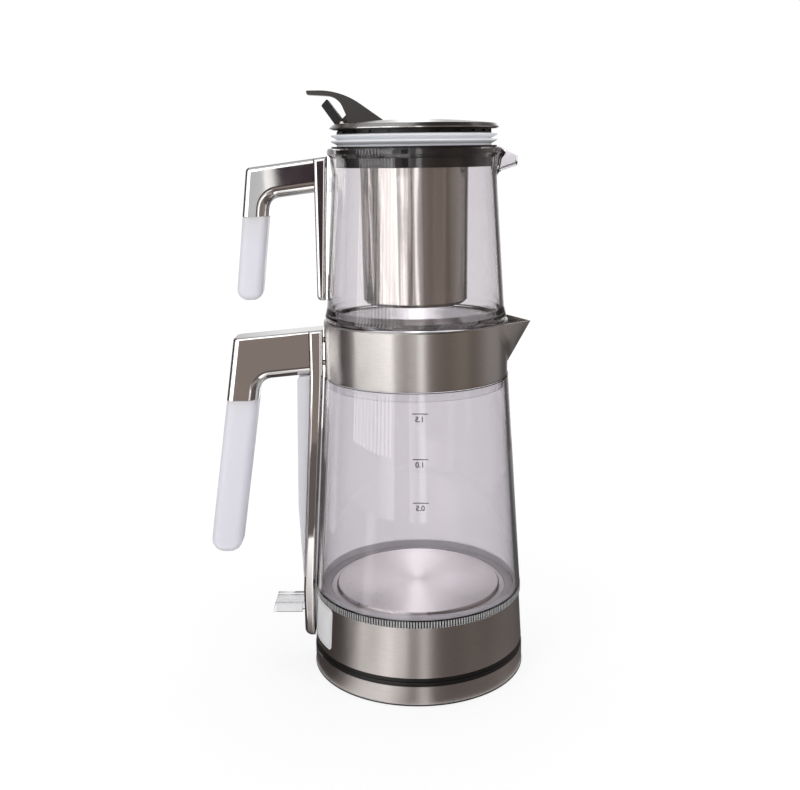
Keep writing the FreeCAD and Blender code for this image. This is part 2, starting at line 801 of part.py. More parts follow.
def base_cover():
    """Black top of the base: deck, raised rim, skirt inside the trim and screw bosses."""
    cover = turned("base_cover", [
        ("coupler_hole", "deck_bottom"),
        ("skirt_radius - cover_wall", "deck_bottom"),
        ("skirt_radius - cover_wall", "pan_top"),
        ("skirt_radius", "pan_top"),
        ("skirt_radius", "trim_top"),
        ("rim_radius", "trim_top"),
        ("rim_radius", "rim_top - cover_rim_bevel"),
        ("rim_radius - cover_rim_bevel", "rim_top"),
        ("rim_radius - cover_rim_width", "rim_top"),
        ("rim_inner", "deck_top"),
        ("coupler_hole", "deck_top"),
    ])
    boss = circle_at(new_sketch(cover, "XY_Plane", "pan_top"), "screw_circle", "0", "boss_radius")
    boss_pad = extrude(cover, boss, "deck_bottom - pan_top")
    bore = circle_at(
        new_sketch(cover, "XY_Plane", "pan_top"), "screw_circle", "0", "screw_radius + screw_gap"
    )
    bore_cut = extrude(cover, bore, "screw_length", cut=True, flip=True)
    around(cover, [boss_pad, bore_cut], "screw_count", bore)
    return cover


def cord_notch(body):
    """Arch at the back of the base where a supply cord leaves it."""
    sketch = outline(new_sketch(body, "XZ_Plane"), [
        ("-cord_notch_width / 2", "trim_bottom - overcut"),
        ("cord_notch_width / 2", "trim_bottom - overcut"),
        ("cord_notch_width / 2", "trim_bottom + cord_notch_height", "cord_notch_width / 4"),
        ("-cord_notch_width / 2", "trim_bottom + cord_notch_height", "cord_notch_width / 4"),
    ])
    return extrude(body, sketch, "trim_radius + overcut", cut=True)


def base_connector():
    """Black plug tower in the middle of the base: a collar round a post."""
    return turned("base_connector", [
        ("pin_radius + pin_gap", "coupler_bottom"),
        ("coupler_flange", "coupler_bottom"),
        ("coupler_flange", "deck_bottom"),
        ("coupler_block_radius", "deck_bottom"),
        ("coupler_block_radius", "block_top"),
        ("collar_ring_radius", "block_top"),
        ("collar_ring_radius", "block_top + collar_ring_height"),
        ("collar_ring_radius - collar_ring_wall", "block_top + collar_ring_height"),
        ("collar_ring_radius - collar_ring_wall", "block_top"),
        ("post_radius", "block_top"),
        ("post_radius", "block_top + post_height"),
        ("pin_radius + pin_gap", "block_top + post_height"),
    ])


def base_contacts():
    """Brass pin and ring that carry the current."""
    contacts = turned("base_contacts", [
        ("0", "coupler_bottom - pin_foot_height"),
        ("pin_foot_radius", "coupler_bottom - pin_foot_height"),
        ("pin_foot_radius", "coupler_bottom"),
        ("pin_radius", "coupler_bottom"),
        ("pin_radius", "block_top + pin_height"),
        ("0", "block_top + pin_height"),
    ])
    ring = rectangle(
        "contact_radius - contact_wall", "contact_radius", "block_top", "block_top + contact_height"
    )
    revolve(contacts, outline(new_sketch(contacts, "XZ_Plane"), ring))
    return contacts


# ---------------------------------------------------------------- kettle foot

def kettle_socket():
    """Round female half of the coupler, free to turn on the base."""
    ring_roof = "block_top + collar_ring_height + coupler_roof"
    return turned("kettle_socket", [
        ("0", "block_top + post_height + coupler_roof"),
        ("post_radius + coupler_play", "block_top + post_height + coupler_roof"),
        ("post_radius + coupler_play", "socket_bottom"),
        ("contact_radius - contact_wall - coupler_play", "socket_bottom"),
        ("contact_radius - contact_wall - coupler_play", "block_top + contact_height + coupler_roof"),
        ("contact_radius + coupler_play", "block_top + contact_height + coupler_roof"),
        ("contact_radius + coupler_play", "socket_bottom"),
        ("collar_ring_radius - collar_ring_wall - coupler_play", "socket_bottom"),
        ("collar_ring_radius - collar_ring_wall - coupler_play", ring_roof),
        ("collar_ring_radius + coupler_play", ring_roof),
        ("collar_ring_radius + coupler_play", "socket_bottom"),
        ("socket_radius", "socket_bottom"),
        ("socket_radius", "well_top"),
        ("socket_flange_radius", "well_top"),
        ("socket_flange_radius", "well_top + socket_flange_height"),
        ("socket_radius", "well_top + socket_flange_height"),
        ("socket_radius", "socket_top"),
        ("0", "socket_top"),
    ])


def kettle_bottom():
    """Black underside of the kettle: resting ring, outer lip and the socket's well."""
    return turned("kettle_bottom", [
        ("well_radius", "lip_bottom"),
        ("rest_inner_radius", "lip_bottom"),
        ("rest_inner_radius", "rest_bottom"),
        ("rest_outer_radius", "rest_bottom"),
        ("rest_outer_radius", "lip_bottom"),
        ("lip_radius", "lip_bottom"),
        ("lip_radius", "lip_top"),
        ("upstand_radius", "lip_top"),
        ("upstand_radius", "upstand_top"),
        ("upstand_radius - upstand_wall", "upstand_top"),
        ("upstand_radius - upstand_wall", "bottom_top"),
        ("well_radius + well_wall", "bottom_top"),
        ("well_radius + well_wall", "well_top"),
        ("well_radius", "well_top"),
    ])


def kettle_shroud():
    """Brushed steel skirt with an inward flange that carries plate and ribbed ring."""
    flange_edge = "shroud_top_radius - shroud_flange"
    return turned("kettle_shroud", [
        ("shroud_bottom_radius - shroud_wall", "lip_top"),
        ("shroud_bottom_radius", "lip_top"),
        ("shroud_top_radius", "shroud_top"),
        (flange_edge, "shroud_top"),
        (flange_edge, "shroud_top - shroud_wall"),
        ("shroud_top_radius - shroud_wall", "shroud_top - shroud_wall"),
    ])


def ribbed_ring():
    """Clear ring under the glass with notches milled all round its rim."""
    ring = turned("ribbed_ring", rectangle("ribbed_inner", "ribbed_radius", "shroud_top", "ribbed_top"))
    notch = outline(new_sketch(ring, "XY_Plane", "shroud_top"), [
        ("ribbed_radius - rib_depth", "0"),
        ("ribbed_radius + rib_notch_over", "-rib_notch / 2"),
        ("ribbed_radius + rib_notch_over", "rib_notch / 2"),
    ])
    notch_cut = extrude(ring, notch, "ribbed_height", cut=True, flip=True)
    around(ring, [notch_cut], "rib_count", notch)
    return ring


def heating_plate():
    """Pressed steel plate: raised disc, step and clamping flange."""
    return turned("heating_plate", [
        ("0", "plate_under"),
        ("plate_radius - plate_sheet", "plate_under"),
        ("plate_radius - plate_sheet", "shroud_top"),
        ("plate_flange_radius", "shroud_top"),
        ("plate_flange_radius", "shroud_top + plate_sheet"),
        ("plate_step_radius", "shroud_top + plate_sheet"),
        ("plate_step_radius", "shroud_top + plate_sheet + plate_step_height"),
        ("plate_radius", "shroud_top + plate_sheet + plate_step_height"),
        ("plate_radius", "plate_top - plate_bevel"),
        ("plate_radius - plate_bevel", "plate_top"),
        ("0", "plate_top"),
    ])


def plate_seal():
    """Silicone seal on the plate's flange, with a lip up the inside of the glass."""
    glass_inside = "glass_bottom_radius - glass_wall - seal_gap"
    flange_top = "shroud_top + plate_sheet"
    return turned("plate_seal", [
        ("plate_step_radius + seal_gap", flange_top),
        ("plate_flange_radius", flange_top),
        ("plate_flange_radius", "ribbed_top"),
        (glass_inside, "ribbed_top"),
        (f"{glass_inside} - glass_slope * seal_lip_height", "ribbed_top + seal_lip_height"),
        (f"{glass_inside} - seal_lip_wall", "ribbed_top + seal_lip_height"),
        (f"{glass_inside} - seal_lip_wall", f"{flange_top} + seal_base_height"),
        ("plate_step_radius + seal_gap", f"{flange_top} + seal_base_height"),
    ])


def heat_spreader():
    """Aluminium disc bonded under the plate."""
    return turned("heat_spreader", rectangle("0", "spreader_radius", "spreader_bottom", "plate_under"))


def heater_element():
    """Horseshoe tube heater, pressed flat against the spreader, with two terminals."""
    element = new_body("heater_element")
    centre = "(spreader_bottom - element_tube_half)"
    ring = outline(new_sketch(element, "XZ_Plane"), [
        ("element_radius - element_tube_half", f"{centre} - element_tube_flat"),
        ("element_radius - element_tube_flat", f"{centre} - element_tube_half"),
        ("element_radius + element_tube_flat", f"{centre} - element_tube_half"),
        ("element_radius + element_tube_half", f"{centre} - element_tube_flat"),
        ("element_radius + element_tube_half", f"{centre} + element_tube_flat"),
        ("element_radius + element_tube_flat", "spreader_bottom"),
        ("element_radius - element_tube_flat", "spreader_bottom"),
        ("element_radius - element_tube_half", f"{centre} + element_tube_flat"),
    ])
    revolve(element, ring, angle="element_sweep")
    ends = new_sketch(element, "XY_Plane", f"{centre} - terminal_length")
    for tag, angle in (("first", "element_sweep / 2"), ("last", "-element_sweep / 2")):
        x, y = f"element_radius * cos({angle})", f"element_radius * sin({angle})"
        circle_at(ends, x, y, "terminal_radius", tag)
    extrude(element, ends, "terminal_length")
    return element


def boil_control():
    """Thermostat block above the socket, hung from the spreader by three posts."""
    control = turned("boil_control", rectangle("0", "control_radius", "control_bottom", "control_top"))
    post = circle_at(
        new_sketch(control, "XY_Plane", "control_top"), "control_post_circle", "0", "control_post_radius"
    )
    post_pad = extrude(control, post, "spreader_bottom - control_top")
    around(control, [post_pad], "control_post_count", post)
    return control


# ---------------------------------------------------------------- kettle vessel

def kettle_glass():
    """Tapering glass wall, open at both ends."""
    return turned("kettle_glass", [
        ("glass_bottom_radius - glass_wall", "ribbed_top"),
        ("glass_bottom_radius", "ribbed_top"),
        ("glass_top_radius", "glass_top"),
        ("glass_top_radius - glass_wall", "glass_top"),
    ])


def collar_gasket():
    """Clear gasket between glass and collar, with a lip inside the glass."""
    inside = "glass_top_radius - glass_wall - gasket_lip_gap + glass_slope * gasket_lip_length"
    lip = f"{inside} - glass_slope * gasket_lip_length"
    return turned("collar_gasket", [
        (f"{lip} - gasket_lip_wall", "glass_top - gasket_lip_length"),
        (lip, "glass_top - gasket_lip_length"),
        (lip, "glass_top"),
        ("glass_top_radius", "glass_top"),
        ("glass_top_radius", "collar_bottom"),
        (f"{lip} - gasket_lip_wall", "collar_bottom"),
    ])


def kettle_collar():
    """Steel collar with a flange at the foot, a seat for the teapot and a pouring window."""
    foot = "glass_top_radius - glass_wall - gasket_lip_gap"
    collar = turned("kettle_collar", [
        (foot, "collar_bottom"),
        ("collar_radius", "collar_bottom"),
        ("collar_radius", "collar_top - collar_bevel"),
        ("collar_radius - collar_bevel", "collar_top"),
        ("collar_mouth_radius", "collar_top"),
        ("collar_mouth_radius", "collar_top - collar_sheet"),
        ("collar_radius - collar_sheet", "collar_top - collar_sheet"),
        ("collar_radius - collar_sheet", "collar_bottom + collar_sheet"),
        (foot, "collar_bottom + collar_sheet"),
    ])
    window = outline(new_sketch(collar, "YZ_Plane"), [
        ("-window_bottom_half", "collar_top - window_bottom_drop"),
        ("window_bottom_half", "collar_top - window_bottom_drop"),
        ("window_top_half", "collar_top - window_top_drop"),
        ("-window_top_half", "collar_top - window_top_drop"),
    ])
    extrude(collar, window, "collar_radius + overcut", cut=True, flip=True)
    screw_holes(collar, "clamp_screw_radius + screw_gap", "collar_radius + overcut")
    return collar


def screw_holes(body, radius, length):
    """Two bores on the handle side for the screws that clamp spine and arm to the collar."""
    sketch = new_sketch(body, "YZ_Plane")
    for tag, drop in (("upper", "clamp_screw_upper_drop"), ("lower", "clamp_screw_lower_drop")):
        circle_at(sketch, "0", f"collar_top - {drop}", radius, tag)
    return extrude(body, sketch, length, cut=True)


def spout_outline(spout, height, half):
    """Outline of the spout's sheet at a height above its foot, out to half beside the middle."""
    fold = f"(collar_radius + spout_lean * ({height}))"
    side = f"sqrt((collar_radius - spout_lap) ^ 2 - ({half}) ^ 2)"
    return outline(new_sketch(spout, "XY_Plane", f"spout_foot + {height}"), [
        (fold, "0"),
        (side, half),
        (f"{side} - 2 * spout_inset", half),
        (f"{fold} - spout_inset", "0"),
        (f"{side} - 2 * spout_inset", f"-({half})"),
        (side, f"-({half})"),
    ])


def kettle_spout():
    """Folded V of steel sheet that opens from a point at its foot and leans out to a tip."""
    spout = new_body("kettle_spout")
    sections = [
        spout_outline(spout, f"(spout_rise * {share})", f"(spout_shoulder_half * {share})")
        for share in ("spout_foot_share", "1 / 3", "2 / 3", "1")
    ]
    loft(spout, sections + [spout_outline(spout, "spout_drop", "spout_rim_half")])
    inside = circle_at(new_sketch(spout, "XY_Plane", "collar_top + overcut"), "0", "0", "collar_radius")
    extrude(spout, inside, "spout_drop + tool_reach", cut=True)
    side_pocket(spout, [
        ("spout_side", "collar_top"),
        ("spout_tip_radius", "collar_top - spout_tip_drop"),
        ("spout_tip_radius + tool_reach", "collar_top - spout_tip_drop"),
        ("spout_tip_radius + tool_reach", "collar_top + overcut"),
        ("spout_side", "collar_top + overcut"),
    ], "collar_radius")
    return spout


# ---------------------------------------------------------------- kettle handle

def spine_inner(height):
    """Distance of the spine's inner face from the axis, on its sloping stretch."""
    return f"(spine_inner_narrow + glass_slope * (spine_narrow - ({height})))"


def spine_outer(height):
    """Distance of the spine's outer face from the axis, below the arm."""
    return f"(spine_outer_narrow + spine_outer_slope * (spine_narrow - ({height})))"


def handle_spine():
    """Chrome spine down the side of the kettle: hollow, open at the back."""
    under, back_edge = "kettle_under_z", "back_bottom + back_lap"
    spine = prism("handle_spine", [
        ("-spine_inner_glass", "collar_bottom"),
        ("-spine_inner_top", "spine_top"),
        ("-kettle_seam_x", "kettle_seam_z"),
        ("-kettle_seam_x", under),
        ("-spine_outer_narrow", "spine_narrow"),
        ("-spine_outer_low", "shroud_top"),
        ("-spine_outer_low", "spine_bottom", "spine_corner"),
        ("-spine_inner_foot", "spine_bottom"),
        ("-spine_inner_low", "ribbed_top"),
        ("-spine_inner_narrow", "spine_narrow"),
    ], "handle_half_width")
    round_edges(spine, lambda edge: on_side_face(edge, "handle_half_width"), "spine_round")
    side_pocket(spine, [
        ("-spine_inner_glass - spine_wall", "spine_hollow_top"),
        ("-kettle_seam_x + spine_wall", "spine_hollow_top"),
        ("-kettle_seam_x + spine_wall", under),
        ("-spine_outer_low - overcut", under),
        ("-spine_outer_low - overcut", back_edge),
        (f"-{spine_outer(back_edge)} + spine_wall", back_edge),
        ("-spine_outer_low + spine_wall", "shroud_top"),
        ("-spine_outer_low + spine_wall", "spine_hollow_bottom"),
        ("-spine_inner_foot - spine_wall", "spine_hollow_bottom"),
        ("-spine_inner_low - spine_wall", "ribbed_top"),
        ("-spine_inner_narrow - spine_wall", "spine_narrow"),
    ], "spine_half_hollow")
    slot_low = "switch_height - switch_thickness / 2 - switch_slot_drop"
    slot_high = "switch_height + switch_thickness / 2 + switch_slot_gap"
    side_pocket(spine, rectangle(
        "-spine_outer_low - overcut", "-spine_outer_low + spine_wall + overcut", slot_low, slot_high
    ), "switch_half_width + switch_slot_gap")
    screw_holes(spine, "clamp_screw_radius + screw_gap", "kettle_seam_x + overcut")
    pin_hole = circle_at(
        new_sketch(spine, "XZ_Plane"), "-switch_x", "switch_height", "switch_pin_radius + pin_press"
    )
    extrude(spine, pin_hole, "2 * handle_half_width + overcut", cut=True, both=True)
    return spine


def spine_back():
    """Frosted cover that closes the back of the spine."""
    top, back_top = "kettle_under_z - back_top_gap", "-spine_outer_narrow - back_top_thickness"
    return prism("spine_back", [
        (f"-{spine_outer('back_bottom')} - back_seam", "back_bottom"),
        ("-spine_outer_narrow - back_seam", "spine_narrow"),
        ("-kettle_seam_x - back_seam", top),
        (back_top, f"{top} - kettle_slope * back_top_thickness", "back_corner"),
        (f"-{spine_outer('back_middle')} - back_middle_thickness", "back_middle"),
    ], "handle_half_width")


def leg_outer(prefix, height):
    """X of the leg's outer line at a height."""
    return f"(-{prefix}_corner_x - {prefix}_lean * ({prefix}_corner_z - ({height})))"


def leg_inner(prefix, height):
    """X of the leg's inner line at a height."""
    return f"({leg_outer(prefix, height)} + {prefix}_leg_width)"


def on_side_face(edge, half_width):
    """Whether an edge lies in the front or back face of a prism."""
    face = value(half_width) - TOUCH
    return abs(edge.CenterOfMass.y) > face and all(abs(v.Y) > face for v in edge.Vertexes)


def from_leg_outer(edge, prefix):
    """How far the middle of an edge lies inside the leg's outer line."""
    middle = edge.CenterOfMass
    return middle.x - value(leg_outer(prefix, "0")) - value(f"{prefix}_lean") * middle.z


def on_inner_side(edge, prefix):
    """Whether an edge runs along the finger side of an arm."""
    low, high = value(f"{prefix}_chrome_z") + TOUCH, value(f"{prefix}_under_z") + NEAR
    beyond = from_leg_outer(edge, prefix) > value(f"{prefix}_leg_width") / 2
    return beyond and low < edge.CenterOfMass.z < high


def on_outer_side(edge, prefix):
    """Whether an edge runs down the outer side of an arm."""
    return abs(from_leg_outer(edge, prefix)) < NEAR


def on_top_side(edge, prefix):
    """Whether an edge runs along the top of an arm."""
    slope = value(f"{prefix}_slope")
    top = value(f"{prefix}_seam_z") + slope * (value(f"{prefix}_seam_x") + edge.CenterOfMass.x)
    return abs(edge.CenterOfMass.z - top) < NEAR


def handle_arm(prefix, label):
    """Chrome elbow from the seam out to the leg, rounded most on the finger side."""
    chrome = f"{prefix}_chrome_z"
    half = f"{prefix}_half_width"
    arm = prism(label, [
        (f"-{prefix}_seam_x", f"{prefix}_seam_z"),
        (f"-{prefix}_corner_x", f"{prefix}_corner_z"),
        (leg_outer(prefix, chrome), chrome),
        (leg_inner(prefix, chrome), chrome),
        (f"-{prefix}_inner_x", f"{prefix}_inner_z", f"{prefix}_inner_corner"),
        (f"-{prefix}_seam_x", f"{prefix}_under_z"),
    ], half)
    for side, radius in (
        (on_inner_side, f"{prefix}_inner_round"),
        (on_outer_side, f"{prefix}_outer_round"),
        (on_top_side, f"{prefix}_top_round"),
    ):
        round_edges(arm, lambda edge: on_side_face(edge, half) and side(edge, prefix), radius)
    tang_end = f"({chrome} - tang_length)"
    middle = f"{prefix}_leg_width * tang_place"
    extrude(arm, outline(new_sketch(arm, "XZ_Plane"), [
        (f"{leg_outer(prefix, tang_end)} + {middle} - tang_size / 2", tang_end),
        (f"{leg_outer(prefix, tang_end)} + {middle} + tang_size / 2", tang_end),
        (f"{leg_outer(prefix, chrome)} + {middle} + tang_size / 2", f"{chrome} + overcut"),
        (f"{leg_outer(prefix, chrome)} + {middle} - tang_size / 2", f"{chrome} + overcut"),
    ]), "tang_size", both=True)
    return arm


def handle_grip(prefix, label):
    """Frosted grip below the elbow, with a socket for the elbow's tang."""
    chrome, low_end = f"{prefix}_chrome_z", f"{prefix}_grip_z"
    half = f"{prefix}_half_width"
    grip = prism(label, [
        (leg_inner(prefix, chrome), chrome),
        (leg_outer(prefix, chrome), chrome),
        (leg_outer(prefix, low_end), low_end, f"{prefix}_end_round"),
        (leg_inner(prefix, low_end), low_end, f"{prefix}_end_round"),
    ], half)
    high = value(chrome) - TOUCH
    round_edges(grip, lambda edge: on_side_face(edge, half) and edge.CenterOfMass.z < high,
                f"{prefix}_grip_round")
    socket_end = f"({chrome} - tang_length - 2 * tang_gap)"
    middle = f"{prefix}_leg_width * tang_place"
    wide = "(tang_size / 2 + tang_gap)"
    side_pocket(grip, [
        (f"{leg_outer(prefix, socket_end)} + {middle} - {wide}", socket_end),
        (f"{leg_outer(prefix, socket_end)} + {middle} + {wide}", socket_end),
        (f"{leg_outer(prefix, chrome)} + {middle} + {wide}", f"{chrome} + overcut"),
        (f"{leg_outer(prefix, chrome)} + {middle} - {wide}", f"{chrome} + overcut"),
    ], "tang_size / 2 + tang_gap")
    return grip


def clamp_screws():
    """Two screws from inside the collar through the spine into the arm."""
    screws = new_body("clamp_screws")
    head_x = "-collar_radius + collar_sheet + clamp_screw_seat"
    for cut_from, radius, length in (
        (f"{head_x} - clamp_screw_length", "clamp_screw_radius", "clamp_screw_length"),
        (head_x, "clamp_screw_head_radius", "clamp_screw_head_height"),
    ):
        sketch = new_sketch(screws, "YZ_Plane", cut_from)
        for tag, drop in (("upper", "clamp_screw_upper_drop"), ("lower", "clamp_screw_lower_drop")):
            circle_at(sketch, "0", f"collar_top - {drop}", radius, tag)
        extrude(screws, sketch, length)
    return screws


# ---------------------------------------------------------------- switch

def switch_lever():
    """Clear paddle that pivots inside the foot of the spine."""
    half = "switch_thickness / 2"
    lever = prism("switch_lever", rectangle(
        "-spine_outer_low - paddle_gap - overcut", "-switch_x",
        f"switch_height - {half}", f"switch_height + {half}",
    ), "switch_half_width")
    outer, inner = "-switch_x - switch_reach", "-spine_outer_low - paddle_gap"
    low, high = "switch_height - paddle_thickness / 2", "switch_height + paddle_thickness / 2"
    extrude(lever, outline(new_sketch(lever, "XZ_Plane"), [
        (outer, low, "edge_round"),
        (inner, low),
        (inner, high),
        (f"{outer} + paddle_slant", high, "edge_round"),
    ]), "2 * paddle_half_width", both=True)
    side_pocket(lever, rectangle(
        f"{outer} - overcut", f"{inner} + overcut", f"{high} - paddle_groove", f"{high} + overcut"
    ), "paddle_half_width - paddle_rim")
    hub = circle_at(new_sketch(lever, "XZ_Plane"), "-switch_x", "switch_height", half)
    extrude(lever, hub, "2 * switch_half_width", both=True)
    bore = circle_at(
        new_sketch(lever, "XZ_Plane"), "-switch_x", "switch_height", "switch_pin_radius + running_play"
    )
    extrude(lever, bore, "2 * switch_half_width + overcut", cut=True, both=True)
    return lever


def switch_pin():
    """Steel pin held in the walls of the spine."""
    pin = new_body("switch_pin")
    rod = circle_at(new_sketch(pin, "XZ_Plane"), "-switch_x", "switch_height", "switch_pin_radius")
    extrude(pin, rod, "2 * (handle_half_width - switch_pin_inset)", both=True)
    return pin


def switch_box():
    """Snap-action switch in the spine, above the lever."""
    outer = f"-{spine_outer('switch_box_top')} + spine_wall + screw_gap"
    inner = "-spine_inner_widest - spine_wall - screw_gap"
    return prism(
        "switch_box",
        rectangle(outer, inner, "switch_box_bottom", "switch_box_top"),
        "switch_box_half_width",
    )


def tilted_cylinder(label, radius, length, x, z, angle):
    """A cylinder from (x, 0, z) whose axis leans from +Z towards +X by an angle in degrees."""
    cylinder = bind(doc.addObject("Part::Cylinder", label), Radius=radius, Height=length)
    cylinder.Placement = FreeCAD.Placement(Vector(), FreeCAD.Rotation(Vector(0, 1, 0), 1))
    cylinder.setExpression(".Placement.Base.x", bound(x))
    cylinder.setExpression(".Placement.Base.z", bound(z))
    cylinder.setExpression(".Placement.Rotation.Angle", bound(angle))
    return cylinder


def cut_from(label, base, tool, is_node=True):
    """The document object base without tool."""
    result = doc.addObject("Part::Cut", label)
    result.Label = label
    result.Base = base
    result.Tool = tool
    if is_node:
        NODES.append(result)
    return result


def rounded(label, base, chosen, radius):
    """The document object base with a fillet on the edges that the function chosen picks."""
    result = doc.addObject("Part::Fillet", label)
    result.Base = base
    doc.recompute()
    size = value(radius)
    edges = enumerate(base.Shape.Edges, start=1)
    result.Edges = [(number, size, size) for number, edge in edges if chosen(edge)]
    return result


def joined(label, shapes):
    """Objects fused to one, as a step towards a node."""
    result = doc.addObject("Part::MultiFuse", label)
    result.Shapes = shapes
    return result


def steam_tube():
    """Silicone tube in the hollow of the spine, from the port to the switch."""
    low, high = "(switch_box_top + steam_tube_end_gap)", "(spine_hollow_top - steam_tube_end_gap)"
    x = f"-{spine_inner(low)} - spine_wall - steam_tube_radius - steam_tube_gap"
    length = f"({high} - {low})"
    outside = tilted_cylinder(
        "steam_tube_outside", "steam_tube_radius", length, x, low, "atan(glass_slope)"
    )
    inside = tilted_cylinder(
        "steam_tube_inside", "steam_tube_radius - steam_tube_wall", length, x, low, "atan(glass_slope)"
    )
    return cut_from("steam_tube", outside, inside)


# ---------------------------------------------------------------- teapot

def pot_radius(height):
    """Outer radius of the teapot's straight flank."""
    return f"(pot_neck_radius + pot_slope_out * (pot_top - pot_neck_drop - ({height})))"


def at_beak_root(edge):
    """Whether an edge runs where the beak's outside meets the vessel, below the rim."""
    middle = edge.CenterOfMass
    beyond = value("pot_neck_radius - overcut") < middle.x < value("pot_bead_radius")
    below = value("pot_top - beak_root_drop - 2 * overcut") < middle.z < value("pot_top - pot_bevel")
    return beyond and below and 1 < abs(middle.y) < value("beak_radius")


def pot_glass():
    """Glass teapot with a stepped foot, a beaded rim and a poured-glass beak."""
    seat = "collar_top"
    outside = turned("pot_outside", [
        ("0", "pot_bottom"),
        ("pot_step_radius - pot_bevel", "pot_bottom"),
        ("pot_step_radius", "pot_bottom + pot_bevel"),
        ("pot_step_radius", seat),
        ("pot_shoulder_radius", seat),
        ("pot_bulge_radius", f"{seat} + pot_bulge_height", "pot_bulge_round"),
        ("pot_low_radius", f"{seat} + pot_low_height"),
        ("pot_neck_radius", "pot_top - pot_neck_drop", "pot_neck_round"),
        ("pot_flare_radius", "pot_top - pot_flare_drop"),
        ("pot_bead_radius", "pot_top - pot_bead_height"),
        ("pot_bead_radius", "pot_top - pot_bevel"),
        ("pot_bead_radius - pot_bevel", "pot_top"),
        ("0", "pot_top"),
    ], is_node=False)
    void = turned("pot_void", [
        ("0", "pot_bottom + pot_floor"),
        ("pot_low_radius - pot_wall - pot_floor", "pot_bottom + pot_floor"),
        ("pot_low_radius - pot_wall", "pot_bottom + 2 * pot_floor"),
        ("pot_low_radius - pot_wall", f"{seat} + pot_low_height"),
        ("pot_neck_radius - pot_wall", "pot_top - pot_neck_drop"),
        ("pot_flare_radius - pot_wall", "pot_top - pot_flare_drop"),
        ("pot_flare_radius - pot_wall", "pot_top + tool_reach"),
        ("0", "pot_top + tool_reach"),
    ], is_node=False)
    angle = "atan(beak_run / beak_climb)"
    start = "beak_inset / beak_length"
    axis_x = f"pot_neck_radius - beak_climb / beak_length * beak_radius - beak_run * {start}"
    axis_z = f"pot_top - beak_root_drop + beak_run / beak_length * beak_radius - beak_climb * {start}"
    shell = tilted_cylinder("beak_outside", "beak_radius", "beak_length + tool_reach", axis_x, axis_z, angle)
    channel = tilted_cylinder(
        "beak_inside", "beak_radius - beak_wall", "beak_length + 2 * tool_reach", axis_x, axis_z, angle
    )
    above = prism("beak_trim", [
        ("pot_bead_radius - overcut", "pot_top"),
        ("beak_reach", "pot_top - beak_lip_drop"),
        ("beak_reach", "pot_top - beak_root_drop"),
        ("beak_reach + tool_reach", "pot_top - beak_root_drop"),
        ("beak_reach + tool_reach", "pot_top + tool_reach"),
        ("0", "pot_top + tool_reach"),
        ("0", "pot_top"),
    ], "beak_radius + overcut", is_node=False)
    beak = cut_from("beak_shell", shell, above, is_node=False)
    solid = joined("pot_solid", [outside, beak])
    blown = rounded("pot_blown", solid, at_beak_root, "beak_root_round")
    hollow = joined("pot_hollow", [void, channel])
    return cut_from("pot_glass", blown, hollow)


def pot_bar():
    """Chrome bar down the side of the teapot; its inner face leans with the glass."""
    head_z = "pot_seam_z + pot_slope * (pot_seam_x - pot_bar_head)"
    bar = prism("pot_bar", [
        ("-pot_seam_x", "pot_seam_z"),
        ("-pot_seam_x", "pot_bar_end", "pot_bar_corner"),
        ("-pot_bar_foot", "pot_bar_end"),
        ("-pot_bar_head", head_z),
    ], "pot_handle_half_width")
    round_edges(bar, lambda edge: on_side_face(edge, "pot_handle_half_width"), "pot_bar_round")
    return bar


def pot_bond(bar):
    """Two clear pads that bond the bar to the glass."""
    pads = []
    lean = "(pot_bar_foot - pot_bar_head) / (pot_seam_z - pot_bar_end)"
    for tag, low in (
        ("lower", "pot_bar_end + bond_lower_lift"),
        ("upper", "pot_under_z + bond_upper_lift"),
    ):
        face = f"(pot_bar_foot - {lean} * ({low} - pot_bar_end))"
        pad = bind(
            doc.addObject("Part::Box", f"bond_{tag}"),
            Length=f"{face} - pot_neck_radius + pot_wall",
            Width="2 * bond_half_width",
            Height=f"bond_{tag}_length",
        )
        pad.setExpression(".Placement.Base.x", bound(f"-{face}"))
        pad.setExpression(".Placement.Base.y", bound("-bond_half_width"))
        pad.setExpression(".Placement.Base.z", bound(low))
        pads.append(pad)
    flank = bind(
        doc.addObject("Part::Cone", "bond_flank"),
        Radius1=f"{pot_radius('collar_top')} + bond_gap",
        Radius2=f"{pot_radius('pot_top')} + bond_gap",
        Height="pot_height",
    )
    flank.setExpression(".Placement.Base.z", bound("collar_top"))
    blanks = cut_from("bond_blanks", joined("bond_blocks", pads), flank, is_node=False)
    return cut_from("pot_bond", blanks, bar)


# ---------------------------------------------------------------- infuser

def infuser_ring():
    """Black ring that hangs on the teapot's rim, slotted on the pouring side."""
    flange_z = "pot_top"
    ring = turned("infuser_ring", [
        ("infuser_floor_hole", "infuser_bottom"),
        ("infuser_wall_radius", "infuser_bottom"),
        ("infuser_wall_radius", flange_z),
        ("infuser_flange_radius", flange_z),
        ("infuser_flange_radius", "infuser_top"),
        ("infuser_flange_inner", "infuser_top"),
        ("infuser_flange_inner", flange_z),
        ("infuser_wall_radius - infuser_wall", flange_z),
        ("infuser_wall_radius - infuser_wall", "basket_top"),
        ("infuser_floor_hole", "basket_top"),
    ])
    slot = outline(
        new_sketch(ring, "XY_Plane", "basket_top + overcut", spin="-strainer_slot_angle / 2"),
        rectangle(
            "infuser_wall_radius - infuser_wall - overcut",
            "infuser_wall_radius + overcut",
            "-strainer_slot_width / 2",
            "strainer_slot_width / 2",
        ),
    )
    slot_cut = extrude(ring, slot, "strainer_slot_height", cut=True, flip=True)
    around(ring, [slot_cut], "strainer_slot_count", slot, "strainer_slot_angle")
    return ring


